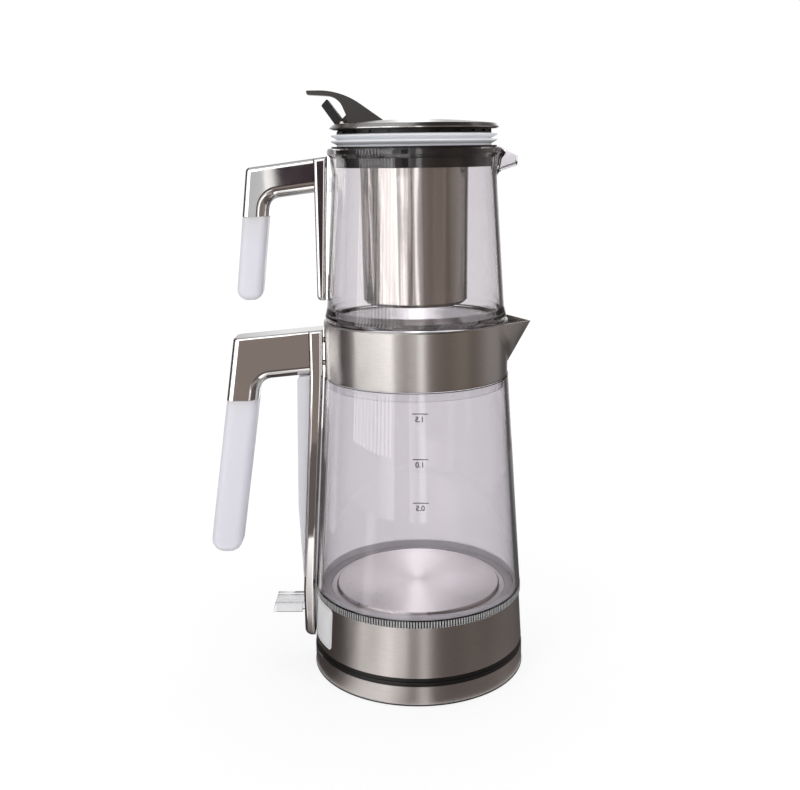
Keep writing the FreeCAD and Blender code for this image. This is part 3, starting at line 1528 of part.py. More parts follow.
def infuser_basket():
    """Polished steel basket that hangs in the ring, with slots in its floor."""
    basket = turned("infuser_basket", [
        ("0", "basket_bottom"),
        ("basket_bottom_radius - basket_bevel", "basket_bottom"),
        ("basket_bottom_radius", "basket_bottom + basket_bevel"),
        ("basket_radius", "basket_top"),
        ("basket_flange_radius", "basket_top"),
        ("basket_flange_radius", "basket_top + basket_wall"),
        ("basket_radius - basket_wall", "basket_top + basket_wall"),
        ("basket_bottom_radius - basket_wall", "basket_bottom + basket_bevel + basket_wall / 2"),
        ("basket_bottom_radius - basket_bevel - basket_wall / 2", "basket_bottom + basket_wall"),
        ("0", "basket_bottom + basket_wall"),
    ])
    slot = outline(new_sketch(basket, "XY_Plane", "basket_bottom - overcut"), rectangle(
        "basket_slot_inner", "basket_slot_outer", "-basket_slot_width / 2", "basket_slot_width / 2"
    ))
    slot_cut = extrude(basket, slot, "basket_wall + 2 * overcut", cut=True, flip=True)
    around(basket, [slot_cut], "basket_slot_count", slot)
    return basket


# ---------------------------------------------------------------- lid

def lid_seal():
    """Grey silicone ring with two lips."""
    corners = [("seal_inner_radius", "lid_bottom"), ("seal_radius", "lid_bottom")]
    for base in ("lid_bottom + seal_lip_lift", "lid_bottom + seal_lip_lift + seal_lip_pitch"):
        corners += [
            ("seal_radius", base),
            ("seal_lip_radius", f"{base} + seal_lip_taper"),
            ("seal_lip_radius", f"{base} + seal_lip_taper + seal_lip_edge"),
            ("seal_radius", f"{base} + seal_lip_taper + seal_lip_edge + seal_lip_back"),
        ]
    corners += [("seal_radius", "neck_bottom"), ("seal_inner_radius", "neck_bottom")]
    return turned("lid_seal", corners)


def lid_plug():
    """Black plug of the lid: cup in the seal, windowed neck, hinge ears and finger tab."""
    plug = turned("lid_plug", [
        ("plug_radius - plug_wall", "lid_bottom + plug_lift"),
        ("plug_radius", "lid_bottom + plug_lift"),
        ("plug_radius", "neck_bottom"),
        ("neck_radius", "neck_bottom"),
        ("neck_radius", "neck_top"),
        ("0", "neck_top"),
        ("0", "neck_top - neck_plate"),
        ("plug_radius - plug_wall", "neck_top - neck_plate"),
    ])
    window = outline(new_sketch(plug, "XY_Plane", "neck_bottom + neck_window_lift"), rectangle(
        "neck_radius - neck_window_depth",
        "neck_radius + overcut",
        "-neck_window_width / 2",
        "neck_window_width / 2",
    ))
    window_cut = extrude(plug, window, "neck_window_height", cut=True, flip=True)
    around(plug, [window_cut], "neck_window_count", window)
    hole = circle_at(
        new_sketch(plug, "XY_Plane", "neck_top - neck_plate - overcut"),
        "pour_hole_place", "0", "pour_hole_radius",
    )
    extrude(plug, hole, "neck_plate + 2 * overcut", cut=True, flip=True)
    relief = "neck_top - hinge_relief"
    side_pocket(plug, rectangle(
        "-neck_radius - overcut", "-hinge_place + ear_radius + hinge_clearance", relief, "neck_top + overcut"
    ), "neck_radius")
    ear_low = f"{relief} - ear_root"
    ears = rectangle("-hinge_place - ear_radius", "-hinge_place + ear_radius", ear_low, "hinge_z")
    extrude(plug, outline(new_sketch(plug, "XZ_Plane"), ears), "2 * ear_outer", both=True)
    eye = circle_at(new_sketch(plug, "XZ_Plane"), "-hinge_place", "hinge_z", "ear_radius")
    extrude(plug, eye, "2 * ear_outer", both=True)
    extrude(plug, outline(new_sketch(plug, "XZ_Plane"), [
        ("-hinge_place - ear_radius", "hinge_z - ear_radius"),
        ("-hinge_place", "hinge_z + ear_radius"),
        ("-tab_top_place", "hinge_z + tab_top_height", "edge_round"),
        ("-tab_tip_place", "hinge_z + tab_tip_height", "edge_round"),
    ]), "2 * ear_outer", both=True)
    side_pocket(plug, rectangle(
        "-hinge_place - knuckle_radius - hinge_clearance",
        "-hinge_place + knuckle_radius + overcut",
        relief,
        "hinge_z + ear_slot_height",
    ), "ear_inner")
    bore = circle_at(
        new_sketch(plug, "XZ_Plane"), "-hinge_place", "hinge_z", "hinge_pin_radius + pin_press"
    )
    extrude(plug, bore, "2 * ear_outer + overcut", cut=True, both=True)
    return plug


def lid_hinge_pin():
    """Steel pin through ears and knuckle."""
    pin = new_body("lid_hinge_pin")
    rod = circle_at(new_sketch(pin, "XZ_Plane"), "-hinge_place", "hinge_z", "hinge_pin_radius")
    extrude(pin, rod, "2 * (ear_outer - pin_end_gap)", both=True)
    return pin


def cap_notch(body):
    """Opening at the edge of the lid's cap that clears ears and tab."""
    return side_pocket(body, rectangle(
        "-disc_radius - overcut", "-cap_notch_place", "neck_top - overcut", "disc_top + overcut"
    ), "cap_notch_half")


def lid_liner():
    """Black plate under the steel disc."""
    liner = turned("lid_liner", rectangle("0", "liner_radius", "neck_top", "liner_top"))
    cap_notch(liner)
    return liner


def lid_disc():
    """Brushed steel dome on top of the lid."""
    skirt = "neck_top + disc_skirt_lift"
    disc = turned("lid_disc", [
        ("disc_radius - disc_sheet", skirt),
        ("disc_radius", skirt),
        ("disc_radius", f"{skirt} + disc_rim"),
        ("crown_radius", "disc_edge"),
        ("0", "disc_top"),
        ("0", "disc_top - disc_sheet"),
        ("crown_radius - disc_sheet / 2", "disc_edge - disc_sheet"),
        ("disc_radius - disc_sheet", f"{skirt} + disc_rim / 2"),
    ], bends={3: "dome_radius"})
    cap_notch(disc)
    return disc


def thumb_lever():
    """Black fin that rises from the lid's cap over the tab."""
    fin = prism("thumb_lever", [
        ("-fin_root", "neck_top + overcut"),
        ("-fin_end", "neck_top + overcut"),
        ("-fin_crest_place", "hinge_z + fin_crest_height", "fin_crest_curve"),
        ("-fin_tip_place", "hinge_z + fin_crest_height", "edge_round"),
        ("-fin_under_place", "hinge_z + fin_under_height", "edge_round"),
        ("-fin_bend_place", "hinge_z + fin_bend_height", "fin_bend_curve"),
        ("-fin_root", "hinge_z + fin_root_height"),
    ], "fin_half_width")
    revolve(fin, outline(new_sketch(fin, "XZ_Plane"), [
        ("0", "neck_top"),
        ("disc_radius + 2 * overcut", "neck_top"),
        ("disc_radius + 2 * overcut", "disc_edge"),
        ("crown_radius", "disc_edge + fin_seat_gap"),
        ("0", "disc_top + fin_seat_gap"),
    ], bends={3: "dome_radius"}), cut=True)
    eye = circle_at(new_sketch(fin, "XZ_Plane"), "-hinge_place", "hinge_z", "ear_radius + fin_ear_gap")
    extrude(fin, eye, "2 * fin_half_width + overcut", cut=True, both=True)
    extrude(fin, outline(new_sketch(fin, "XZ_Plane"), [
        ("-hinge_place", "hinge_z - knuckle_radius"),
        ("-cap_notch_place - fin_side_gap", "hinge_z - knuckle_radius"),
        ("-cap_notch_place - fin_side_gap", "hinge_z + fin_root_height"),
        ("-fin_root - fin_side_gap", "hinge_z + fin_root_height"),
        ("-hinge_place", "hinge_z + knuckle_radius"),
    ]), "2 * knuckle_half_width", both=True)
    knuckle = circle_at(new_sketch(fin, "XZ_Plane"), "-hinge_place", "hinge_z", "knuckle_radius")
    extrude(fin, knuckle, "2 * knuckle_half_width", both=True)
    bore = circle_at(
        new_sketch(fin, "XZ_Plane"), "-hinge_place", "hinge_z", "hinge_pin_radius + running_play"
    )
    extrude(fin, bore, "2 * knuckle_half_width + overcut", cut=True, both=True)
    return fin


# ---------------------------------------------------------------- assembly

base_foot_ring()
base_pan()
base_screws()
cord_notch(base_trim_ring())
cord_notch(base_cover())
base_connector()
base_contacts()

kettle_socket()
kettle_bottom()
kettle_shroud()
ribbed_ring()
heating_plate()
plate_seal()
heat_spreader()
heater_element()
boil_control()
kettle_glass()
collar_gasket()
kettle_collar()
kettle_spout()
handle_spine()
spine_back()
screw_holes(
    handle_arm("kettle", "kettle_arm"),
    "clamp_screw_radius + screw_gap",
    "collar_radius - collar_sheet + clamp_screw_length + screw_gap",
)
handle_grip("kettle", "kettle_grip")
clamp_screws()
switch_lever()
switch_pin()
switch_box()
steam_tube()

pot_glass()
pot_bond(pot_bar())
handle_arm("pot", "pot_arm")
handle_grip("pot", "pot_grip")
infuser_ring()
infuser_basket()

lid_seal()
lid_plug()
lid_hinge_pin()
lid_liner()
lid_disc()
thumb_lever()

doc.recompute()
for item in doc.Objects:
    if "Invalid" in item.State or "Error" in item.State:
        raise RuntimeError(f"{item.Label} failed: {item.State}")

os.makedirs("parts", exist_ok=True)
for node in NODES:
    shape = node.Shape
    if shape.isNull() or not shape.isValid():
        raise RuntimeError(f"{node.Label} has no valid shape")
    shape.exportStep(f"parts/{node.Label}.step")
    print(f"{node.Label}: {len(shape.Solids)} solids, {shape.Volume:.0f} mm3")
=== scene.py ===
# %% [markdown]
# # Dressing a two-tier tea maker
#
# The solids of the tea maker come from a CAD model: a glass kettle on a round power base, and a
# glass teapot with an infuser in the kettle's mouth. They arrive with the right shapes and plain
# colours. This lesson gives each of them the surface of the real thing, adds the few details
# that a CAD model leaves out, and sets up a small studio round it. Everything is in metres, +Z
# is up, the handles point to -X and the spouts to +X.

# %% Load the solids
import math

import bpy
from mathutils import Matrix, Vector


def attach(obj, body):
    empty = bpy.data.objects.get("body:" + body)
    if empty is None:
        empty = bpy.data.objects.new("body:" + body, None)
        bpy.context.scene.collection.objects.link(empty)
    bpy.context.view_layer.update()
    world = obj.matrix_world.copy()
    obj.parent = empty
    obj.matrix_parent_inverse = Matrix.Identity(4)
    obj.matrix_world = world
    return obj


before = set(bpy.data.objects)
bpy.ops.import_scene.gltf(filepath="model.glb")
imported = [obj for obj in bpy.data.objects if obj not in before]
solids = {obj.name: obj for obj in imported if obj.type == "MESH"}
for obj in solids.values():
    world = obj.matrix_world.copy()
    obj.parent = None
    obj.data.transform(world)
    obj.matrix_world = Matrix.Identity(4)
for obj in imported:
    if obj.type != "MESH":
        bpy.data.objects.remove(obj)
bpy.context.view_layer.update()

# %% [markdown]
# ## The camera
#
# The camera stands a little above the lid and looks down by thirteen degrees, so the rims of the
# glass show as narrow ellipses and the heating plate can be seen through the kettle's wall. It is
# turned and rolled by less than a degree, as a hand-held camera is. Its lens is long enough that
# the upright walls hardly lean together.

# %% Place the camera
CAMERA_DISTANCE = 0.7091
CAMERA_HEIGHT = 0.366
CAMERA_PITCH = math.radians(13.33)
CAMERA_YAW = math.radians(0.92)
CAMERA_ROLL = math.radians(-0.74)
CAMERA_LENS = 46.917
CAMERA_FILM_WIDTH = 36

bpy.context.scene.view_settings.view_transform = "Standard"
camera_data = bpy.data.cameras.new("camera")
camera_data.sensor_width = CAMERA_FILM_WIDTH
camera_data.lens = CAMERA_LENS
camera = bpy.data.objects.new("camera", camera_data)
bpy.context.scene.collection.objects.link(camera)
camera.matrix_world = (
    Matrix.Translation((0, -CAMERA_DISTANCE, CAMERA_HEIGHT))
    @ Matrix.Rotation(CAMERA_YAW, 4, "Z")
    @ Matrix.Rotation(math.pi / 2 - CAMERA_PITCH, 4, "X")
    @ Matrix.Rotation(CAMERA_ROLL, 4, "Z")
)
bpy.context.scene.camera = camera
print("lens:", round(camera_data.lens, 1), "mm")

# %% [markdown]
# ## Small helpers
#
# Blender's operators act on whatever is selected, and the loaded solids come in selected, so
# every modelling step starts from an empty selection. A material is a little graph of nodes. It
# could be clicked together by hand for each piece. Built by helpers, the same few nodes serve all
# of them, and a piece's finish is one line that can be read.

# %% Helpers for selecting and for materials


def deselect_all():
    """Leaves object mode with nothing selected."""
    if bpy.context.object and bpy.context.object.mode != "OBJECT":
        bpy.ops.object.mode_set(mode="OBJECT")
    bpy.ops.object.select_all(action="DESELECT")


def new_material(name, **sockets):
    """A material with a Principled shader whose sockets are set by name."""
    material = bpy.data.materials.new(name)
    material.use_nodes = True
    shader = material.node_tree.nodes["Principled BSDF"]
    for socket, value in sockets.items():
        shader.inputs[socket.replace("_", " ")].default_value = value
    return material


def add_node(material, kind, settings=None, **sockets):
    """A node in a material's graph; a socket takes a value, or a link where an output is given."""
    tree = material.node_tree
    node = tree.nodes.new("ShaderNode" + kind)
    for key, value in (settings or {}).items():
        setattr(node, key, value)
    for socket, value in sockets.items():
        numbered = socket[0] == "i" and socket[1:].isdigit()
        target = node.inputs[int(socket[1:]) if numbered else socket.replace("_", " ")]
        if isinstance(value, bpy.types.NodeSocket):
            tree.links.new(value, target)
        else:
            target.default_value = value
    return node


def shader_of(material):
    """The Principled shader of a material."""
    return material.node_tree.nodes["Principled BSDF"]


def link(material, output, socket):
    """Feeds an output into a socket of the material's Principled shader."""
    material.node_tree.links.new(output, shader_of(material).inputs[socket])


def give(material, *names):
    """Puts a material on solids of the CAD model."""
    for name in names:
        data = solids[name].data
        data.materials.clear()
        data.materials.append(material)


def object_place(material, scale=(1, 1, 1)):
    """Object coordinates, in metres, stretched by scale."""
    coords = add_node(material, "TexCoord")
    mapping = add_node(material, "Mapping", Vector=coords.outputs["Object"], Scale=scale)
    return mapping.outputs["Vector"]


def calculate(material, operation, first, second, **settings):
    """The result of a Math node on two values or outputs."""
    node = add_node(material, "Math", {"operation": operation, **settings}, i0=first, i1=second)
    return node.outputs[0]


def length(material, vector):
    """The length of a vector output."""
    return add_node(material, "VectorMath", {"operation": "LENGTH"}, i0=vector).outputs["Value"]


print("plain materials that the solids came with:", len(bpy.data.materials))

# %% [markdown]
# ## The stage
#
# A product on a white sweep needs two things: a floor that catches its shadow, and a background
# that the camera, the glass and the metal all see as white. More lamps could whiten both, but
# they would bleach the tea maker too. So both glow white for camera, mirror and glass rays alone.
# Under the tea maker the floor keeps a share of plain diffuse white, which is what a shadow
# darkens. That share fades out half a metre away, so the floor meets the sky without a line.

# %% Build the floor
ROUND_STEPS = 96
FLOOR_RADIUS = 6
SHADOW_SHARE = 0.2
SHADOW_FADE = (0.1, 0.45)
FLOOR_GLOW = 1.04

deselect_all()
bpy.ops.mesh.primitive_circle_add(vertices=ROUND_STEPS, radius=FLOOR_RADIUS, fill_type="NGON",
                                  location=(0, 0, 0))
floor = bpy.context.object
floor.name = "floor"
floor_finish = new_material("floor_finish", Base_Color=(0.9, 0.9, 0.9, 1), Roughness=0.9)
shader_of(floor_finish).inputs["Specular IOR Level"].default_value = 0.1


def seen_rays(material):
    """1 for a camera, mirror or glass ray and 0 for the rays that light a matt surface."""
    rays = add_node(material, "LightPath").outputs
    first = calculate(material, "ADD", rays["Is Camera Ray"], rays["Is Glossy Ray"])
    return calculate(material, "ADD", first, rays["Is Transmission Ray"], use_clamp=True)


floor_coords = add_node(floor_finish, "TexCoord")
fade = add_node(floor_finish, "MapRange", {"interpolation_type": "SMOOTHSTEP"},
                Value=length(floor_finish, floor_coords.outputs["Object"]),
                From_Min=SHADOW_FADE[0], From_Max=SHADOW_FADE[1],
                To_Min=1 - SHADOW_SHARE, To_Max=1.0)
share = calculate(floor_finish, "MULTIPLY", seen_rays(floor_finish), fade.outputs["Result"])
glow = add_node(floor_finish, "Emission", Color=(1, 1, 1, 1), Strength=FLOOR_GLOW)
mixed = add_node(floor_finish, "MixShader", i0=share,
                 i1=shader_of(floor_finish).outputs["BSDF"], i2=glow.outputs["Emission"])
floor_out = floor_finish.node_tree.nodes["Material Output"]
floor_finish.node_tree.links.new(mixed.outputs["Shader"], floor_out.inputs["Surface"])
floor.data.materials.append(floor_finish)
print("floor radius:", FLOOR_RADIUS, "m, glow:", FLOOR_GLOW)

# %% [markdown]
# The sky works the same way: it is white where it is seen, and gives less than half of that as
# light, so that the matt pieces keep their shading.

# %% Light the world
SKY_LIGHT = 0.45
SKY_SEEN = 1.02

world = bpy.data.worlds.new("studio")
bpy.context.scene.world = world
world.use_nodes = True
sky_level = add_node(world, "MapRange", Value=seen_rays(world), To_Min=SKY_LIGHT, To_Max=SKY_SEEN)
background = world.node_tree.nodes["Background"]
background.inputs["Color"].default_value = (1, 1, 1, 1)
world.node_tree.links.new(sky_level.outputs["Result"], background.inputs["Strength"])
print("sky as light:", SKY_LIGHT, "as seen:", SKY_SEEN)

# %% [markdown]
# Three large area lamps do the rest: a key from the front left, a weaker one from the right, and
# one overhead. Sun lamps or small lamps would draw hard shadows. They light the matt surfaces
# only, because what the metal mirrors is set apart, below.

# %% Add the lamps
LAMP_AIM = Vector((0, 0, 0.2))


def add_lamp(name, place, size, power):
    """A square area lamp that looks at the middle of the tea maker."""
    data = bpy.data.lights.new(name, "AREA")
    data.shape = "SQUARE"
    data.size = size
    data.energy = power
    lamp = bpy.data.objects.new(name, data)
    lamp.visible_glossy = False
    bpy.context.scene.collection.objects.link(lamp)
    turn = (LAMP_AIM - Vector(place)).to_track_quat("-Z", "Y")
    lamp.matrix_world = Matrix.Translation(place) @ turn.to_matrix().to_4x4()
    print(name, power, "W")


add_lamp("key_lamp", (-1.1, -1.4, 1.1), 0.9, 11)
add_lamp("fill_lamp", (1.3, -1.0, 0.8), 0.9, 7)
add_lamp("top_lamp", (0.1, 0.3, 1.6), 1.0, 9)

# %% [markdown]
# Polished and brushed metal shows nothing but its surroundings, and it goes flat in an all-white
# room. A picture of a room wrapped round the scene could give it some. Here a plain round screen
# does it, because its light and dark places can be set one by one: a window on the front left,
# dim walls on the right, dark corners. Only mirror rays see it. Its paper is see-through until a
# ray has been mirrored once, so the glass still shows the white background behind it, while the
# steel basket inside the glass shows the screen. Places on it are given as the angle from the
# front, positive to the right.

# %% Make the paper of the screen


def tinted(level, green=1.0, blue=1.0):
    """A shade of the screen: its level and how much green and blue are left in it."""
    return (level, level * green, level * blue)


def shades_by_angle(material, stops):
    """A colour that changes with the angle round the Z axis; a stop is (degrees, shade...)."""
    coords = add_node(material, "TexCoord")
    turned = add_node(material, "Mapping", Vector=coords.outputs["Object"],
                      Rotation=(0, 0, math.pi / 2))
    angle = add_node(material, "TexGradient", {"gradient_type": "RADIAL"},
                     Vector=turned.outputs["Vector"])
    ramp = add_node(material, "ValToRGB", Fac=angle.outputs["Fac"])
    points = ramp.color_ramp.elements
    ends = (points[0], points[1])
    for point, (degrees, *shade) in zip(ends, (stops[0], stops[-1])):
        point.position, point.color = degrees / 360 + 0.5, (*tinted(*shade), 1)
    for degrees, *shade in stops[1:-1]:
        points.new(degrees / 360 + 0.5).color = (*tinted(*shade), 1)
    return ramp.outputs["Color"]


def paper_for_mirrors(screen, shade):
    """Gives a piece of the screen one shade, or a list of stops, that only mirrored rays see."""
    paper = new_material(screen.name + "_paper")
    tree = paper.node_tree
    glow = add_node(paper, "Emission", Strength=1.0)
    if isinstance(shade, list):
        tree.links.new(shades_by_angle(paper, shade), glow.inputs["Color"])
    else:
        glow.inputs["Color"].default_value = (*shade, 1)
    rays = add_node(paper, "LightPath")
    mirrored = calculate(paper, "GREATER_THAN", rays.outputs["Glossy Depth"], 0.5)
    clear = add_node(paper, "BsdfTransparent")
    both = add_node(paper, "MixShader", i0=mirrored,
                    i1=clear.outputs[0], i2=glow.outputs["Emission"])
    tree.links.new(both.outputs["Shader"], tree.nodes["Material Output"].inputs["Surface"])
    screen.data.materials.append(paper)
    screen.visible_camera = False
    screen.visible_diffuse = False
    screen.visible_shadow = False
    screen.visible_volume_scatter = False


print("a dim warm shade:", tinted(0.3, 0.86, 0.74))

# %% [markdown]
# The screen is an open cylinder that stands clear of the tea maker. Four flat walls would be
# simpler, but their corners would show as edges in the round steel. Its shades are a list of
# angles with the level at each, and the paper blends from one to the next.

# %% Stand the screen
SCREEN_RADIUS = 0.62
SCREEN_HEIGHT = 1.0
SCREEN_SHADES = [
    (-180, 3.4), (-176, 0.9), (-163, 0.9), (-150, 0.3, 0.95, 0.92), (-130, 0.24, 0.95, 0.92),
    (-117, 0.05, 0.8, 0.75), (-103, 0.05, 0.8, 0.75), (-92, 0.12, 0.9, 0.88),
    (-80, 0.34, 0.95, 0.93), (-45, 0.45, 0.95, 0.93), (-31, 1.6, 0.98, 0.97),
    (-17, 1.5, 0.98, 0.97), (-9, 1.2, 0.96, 0.94), (1, 0.4, 0.95, 0.93), (4, 2.1, 0.99, 0.98),
    (8, 2.1, 0.99, 0.98), (11, 0.4, 0.92, 0.9), (20, 0.28, 0.84, 0.76), (38, 0.2, 0.84, 0.74),
    (50, 0.27, 0.86, 0.74), (60, 0.3, 0.86, 0.74), (70, 0.17, 0.84, 0.74), (84, 0.26, 0.86, 0.8),
    (96, 0.36, 0.92, 0.88), (118, 0.34, 0.94, 0.92), (130, 0.12, 0.9, 0.88),
    (150, 0.1, 0.9, 0.88), (163, 0.9), (176, 0.9), (180, 3.4),
]

deselect_all()
bpy.ops.mesh.primitive_cylinder_add(vertices=ROUND_STEPS, radius=SCREEN_RADIUS, depth=SCREEN_HEIGHT,
                                    end_fill_type="NOTHING", location=(0, 0, SCREEN_HEIGHT / 2))
screen = bpy.context.object
screen.name = "screen"
paper_for_mirrors(screen, SCREEN_SHADES)
print("screen radius:", SCREEN_RADIUS, "m, shades:", len(SCREEN_SHADES))

# %% [markdown]
# An upright wall that is seen from a little above mirrors the ground near it more than the
# screen. The screen's shades could run down to the tea maker as a funnel, but flat rings on the
# ground can each have shades of their own. The foot mirrors the two inner rings, and the handle's
# spine mirrors the outer one. A ring at the top of the screen does the same for the lid.

# %% Lay the sheets
SHEET_HEIGHT = 0.0015
SHEET_EDGES = (0.0768, 0.13, 0.28, SCREEN_RADIUS)
CEILING_HOLE = 0.02


def add_ring_sheet(name, shades, height, outer, inner):
    """A flat ring of paper round the Z axis at a height."""
    deselect_all()
    bpy.ops.mesh.primitive_circle_add(vertices=ROUND_STEPS, radius=outer, fill_type="NOTHING",
                                      location=(0, 0, height))
    sheet = bpy.context.object
    sheet.name = name
    bpy.ops.object.mode_set(mode="EDIT")
    bpy.ops.mesh.select_all(action="SELECT")
    bpy.ops.mesh.extrude_edges_move()
    bpy.ops.transform.resize(value=(inner / outer, inner / outer, 1))
    bpy.ops.object.mode_set(mode="OBJECT")
    paper_for_mirrors(sheet, shades)


NEAR_SHADES = [
    (-180, 0.5), (-150, 0.3), (-110, 0.05, 0.85, 0.82), (-60, 0.09, 0.85, 0.82),
    (-50, 0.28, 0.9, 0.88), (-36, 0.95, 0.97, 0.95), (-24, 1.05, 0.97, 0.95),
    (-12, 0.75, 0.97, 0.96), (-8, 0.5, 0.96, 0.95), (-5, 0.27, 0.95, 0.94), (-2, 0.3, 0.95, 0.94),
    (2, 0.6, 0.96, 0.95), (5, 0.5, 0.95, 0.94), (9, 0.15, 0.88, 0.85), (30, 0.15, 0.86, 0.82),
    (60, 0.22, 0.86, 0.82), (110, 0.12, 0.9, 0.88), (160, 0.4), (180, 0.5),
]
DARK_LEFT = [(-180, 0.5), (-160, 0.4), (-145, 0.06, 0.8, 0.78), (-58, 0.06, 0.8, 0.78)]
DIM_RIGHT = [
    (2, 0.35, 0.9, 0.88), (10, 0.35, 0.9, 0.88), (18, 0.13, 0.85, 0.8), (90, 0.13, 0.85, 0.8),
    (110, 0.15, 0.9, 0.88), (140, 0.08), (160, 0.4), (180, 0.5),
]
MIDDLE_SHADES = DARK_LEFT + [
    (-54, 1.1, 0.97, 0.95), (-49, 1.1, 0.97, 0.95), (-43, 0.45, 0.93, 0.9), (-27, 1.05, 0.97, 0.96),
    (-20, 1.6, 0.97, 0.96), (-11, 1.6, 0.97, 0.96), (-7, 0.3, 0.93, 0.9), (-4, 0.15, 0.9, 0.88),
] + DIM_RIGHT
FAR_SHADES = DARK_LEFT + [
    (-54, 1.0, 0.97, 0.95), (-49, 1.0, 0.97, 0.95), (-44, 0.12, 0.85, 0.8), (-6, 0.14, 0.85, 0.8),
] + DIM_RIGHT
GROUND_SHADES = (
    ("near_sheet", NEAR_SHADES), ("middle_sheet", MIDDLE_SHADES), ("far_sheet", FAR_SHADES),
)
for (name, shades), inner, outer in zip(GROUND_SHADES, SHEET_EDGES, SHEET_EDGES[1:]):
    add_ring_sheet(name, shades, SHEET_HEIGHT, outer, inner)
CEILING_SHADES = [
    (-180, 0.25), (-120, 0.4), (-60, 0.75), (-25, 0.45), (10, 0.14), (40, 0.04, 0.9, 0.85),
    (150, 0.04, 0.9, 0.85), (180, 0.25),
]
add_ring_sheet("ceiling_sheet", CEILING_SHADES, SCREEN_HEIGHT, SCREEN_RADIUS, CEILING_HOLE)
print("edges of the sheets on the ground:", SHEET_EDGES)

# %% [markdown]
# The window has a blind, whose upright slats put fine bright lines into the glass and the
# basket. Beside it the wall is brown, and this is what the flat fronts of the chromed arms show.
# More shades on the screen could make these too, but shades can't change with the height, and
# cards hung in front of the screen can stop where they should.

# %% Hang the blind and the brown wall
CARD_DISTANCE = 0.6
FRONT_CARD_DISTANCE = 0.59
CARD_STEP = 5


def add_card(name, start, end, shade, low, high, distance=CARD_DISTANCE):
    """An upright curved card inside the screen, between two angles and two heights."""
    steps = max(1, round(abs(end - start) / CARD_STEP))
    turns = [math.radians(start + (end - start) * i / steps) for i in range(steps + 1)]
    mesh = bpy.data.meshes.new(name)
    points = [(distance * math.sin(turn), -distance * math.cos(turn), height)
              for height in (low, high) for turn in turns]
    mesh.from_pydata(points, [], [(i, i + 1, i + steps + 2, i + steps + 1) for i in range(steps)])
    card = bpy.data.objects.new(name, mesh)
    bpy.context.scene.collection.objects.link(card)
    paper_for_mirrors(card, shade)


SLAT_COUNT = 13
SLAT_FIRST = -75.5
SLAT_PITCH = 4.6
SLAT_HALF_WIDTH = 1.0
SLAT_SHADE = tinted(3.5, 0.99, 0.98)
SILL = 0.08
SILL_OVER_BROWN_WALL = 0.4
BROWN_WALL_SIDE = -27

for index in range(SLAT_COUNT):
    middle = SLAT_FIRST + SLAT_PITCH * index
    bottom = SILL if middle < BROWN_WALL_SIDE else SILL_OVER_BROWN_WALL
    add_card(f"blind_slat_{index}", middle - SLAT_HALF_WIDTH, middle + SLAT_HALF_WIDTH, SLAT_SHADE,
             bottom, SCREEN_HEIGHT)
add_card("brown_wall", -25, -8.2, (0.262, 0.216, 0.19), 0.0, 0.26)
add_card("dark_doorway", -16.3, -7.5, (0.05, 0.036, 0.042), 0.2, 0.37, FRONT_CARD_DISTANCE)
add_card("pale_frame", -26, -17.3, (0.6, 0.6, 0.61), 0.25, 0.38, FRONT_CARD_DISTANCE)
print("slats:", SLAT_COUNT)

# %% [markdown]
# ## Brushed steel
#
# The base's band, the kettle's foot and collar and the lid are steel that was brushed while it
# turned, so its fine lines run round the axis. They are too fine to model, and a picture of
# brushed steel would stretch over the cones. A noise that changes fast with height and distance
# from the axis, and slowly round it, roughens, tints and tilts the surface just enough, and an
# anisotropic highlight spreads the light across the lines.

# %% Make the brushed steel


def roughen(material, fac, low, high, start=0.0, end=1.0):
    """Drives the roughness from low to high by an output between start and end."""
    spread = add_node(material, "MapRange", Value=fac, From_Min=start, From_Max=end,
                      To_Min=low, To_Max=high)
    link(material, spread.outputs["Result"], "Roughness")


def tilt(material, height, strength, distance, below=None):
    """Bumps the surface by an output; below is a bump that this one is laid on."""
    bump = add_node(material, "Bump", Height=height, Strength=strength, Distance=distance)
    if below:
        material.node_tree.links.new(below, bump.inputs["Normal"])
    link(material, bump.outputs["Normal"], "Normal")
    return bump.outputs["Normal"]


def turning_lines(material, fine, along):
    """A noise of fine lines that run round the Z axis; gives its value between 0 and 1."""
    coords = add_node(material, "TexCoord")
    split = add_node(material, "SeparateXYZ", Vector=coords.outputs["Object"]).outputs
    flat = add_node(material, "CombineXYZ", X=split["X"], Y=split["Y"]).outputs[0]
    away = calculate(material, "MULTIPLY", length(material, flat), fine)
    up = calculate(material, "MULTIPLY", split["Z"], fine)
    turn = add_node(material, "VectorMath", {"operation": "NORMALIZE"}, i0=flat)
    part = add_node(material, "SeparateXYZ", Vector=turn.outputs[0]).outputs
    place = add_node(material, "CombineXYZ", X=calculate(material, "MULTIPLY", part["X"], along),
                     Y=calculate(material, "MULTIPLY", part["Y"], along),
                     Z=calculate(material, "ADD", away, up))
    noise = add_node(material, "TexNoise", {"noise_dimensions": "3D"}, Vector=place.outputs[0],
                     Scale=1.0, Detail=3.0, Roughness=0.6)
    return noise.outputs["Fac"]


def brushed_steel(name, color, roughness, fine=2600.0, along=9.0, depth=0.35):
    """Steel brushed round the axis."""
    steel = new_material(name, Base_Color=(*color, 1), Metallic=1.0, Roughness=roughness,
                         Anisotropic=0.92, Anisotropic_Rotation=0.25)
    lines = turning_lines(steel, fine, along)
    roughen(steel, lines, roughness - 0.05, roughness + 0.08)
    shade = add_node(steel, "MapRange", Value=lines, To_Min=0.82, To_Max=1.1)
    tint = add_node(steel, "MixRGB", {"blend_type": "MULTIPLY"}, Fac=1.0, Color1=(*color, 1),
                    Color2=shade.outputs["Result"])
    link(steel, tint.outputs["Color"], "Base Color")
    tilt(steel, lines, depth, 0.00004)
    tangent = add_node(steel, "Tangent", {"direction_type": "RADIAL", "axis": "Z"})
    link(steel, tangent.outputs["Tangent"], "Tangent")
    return steel


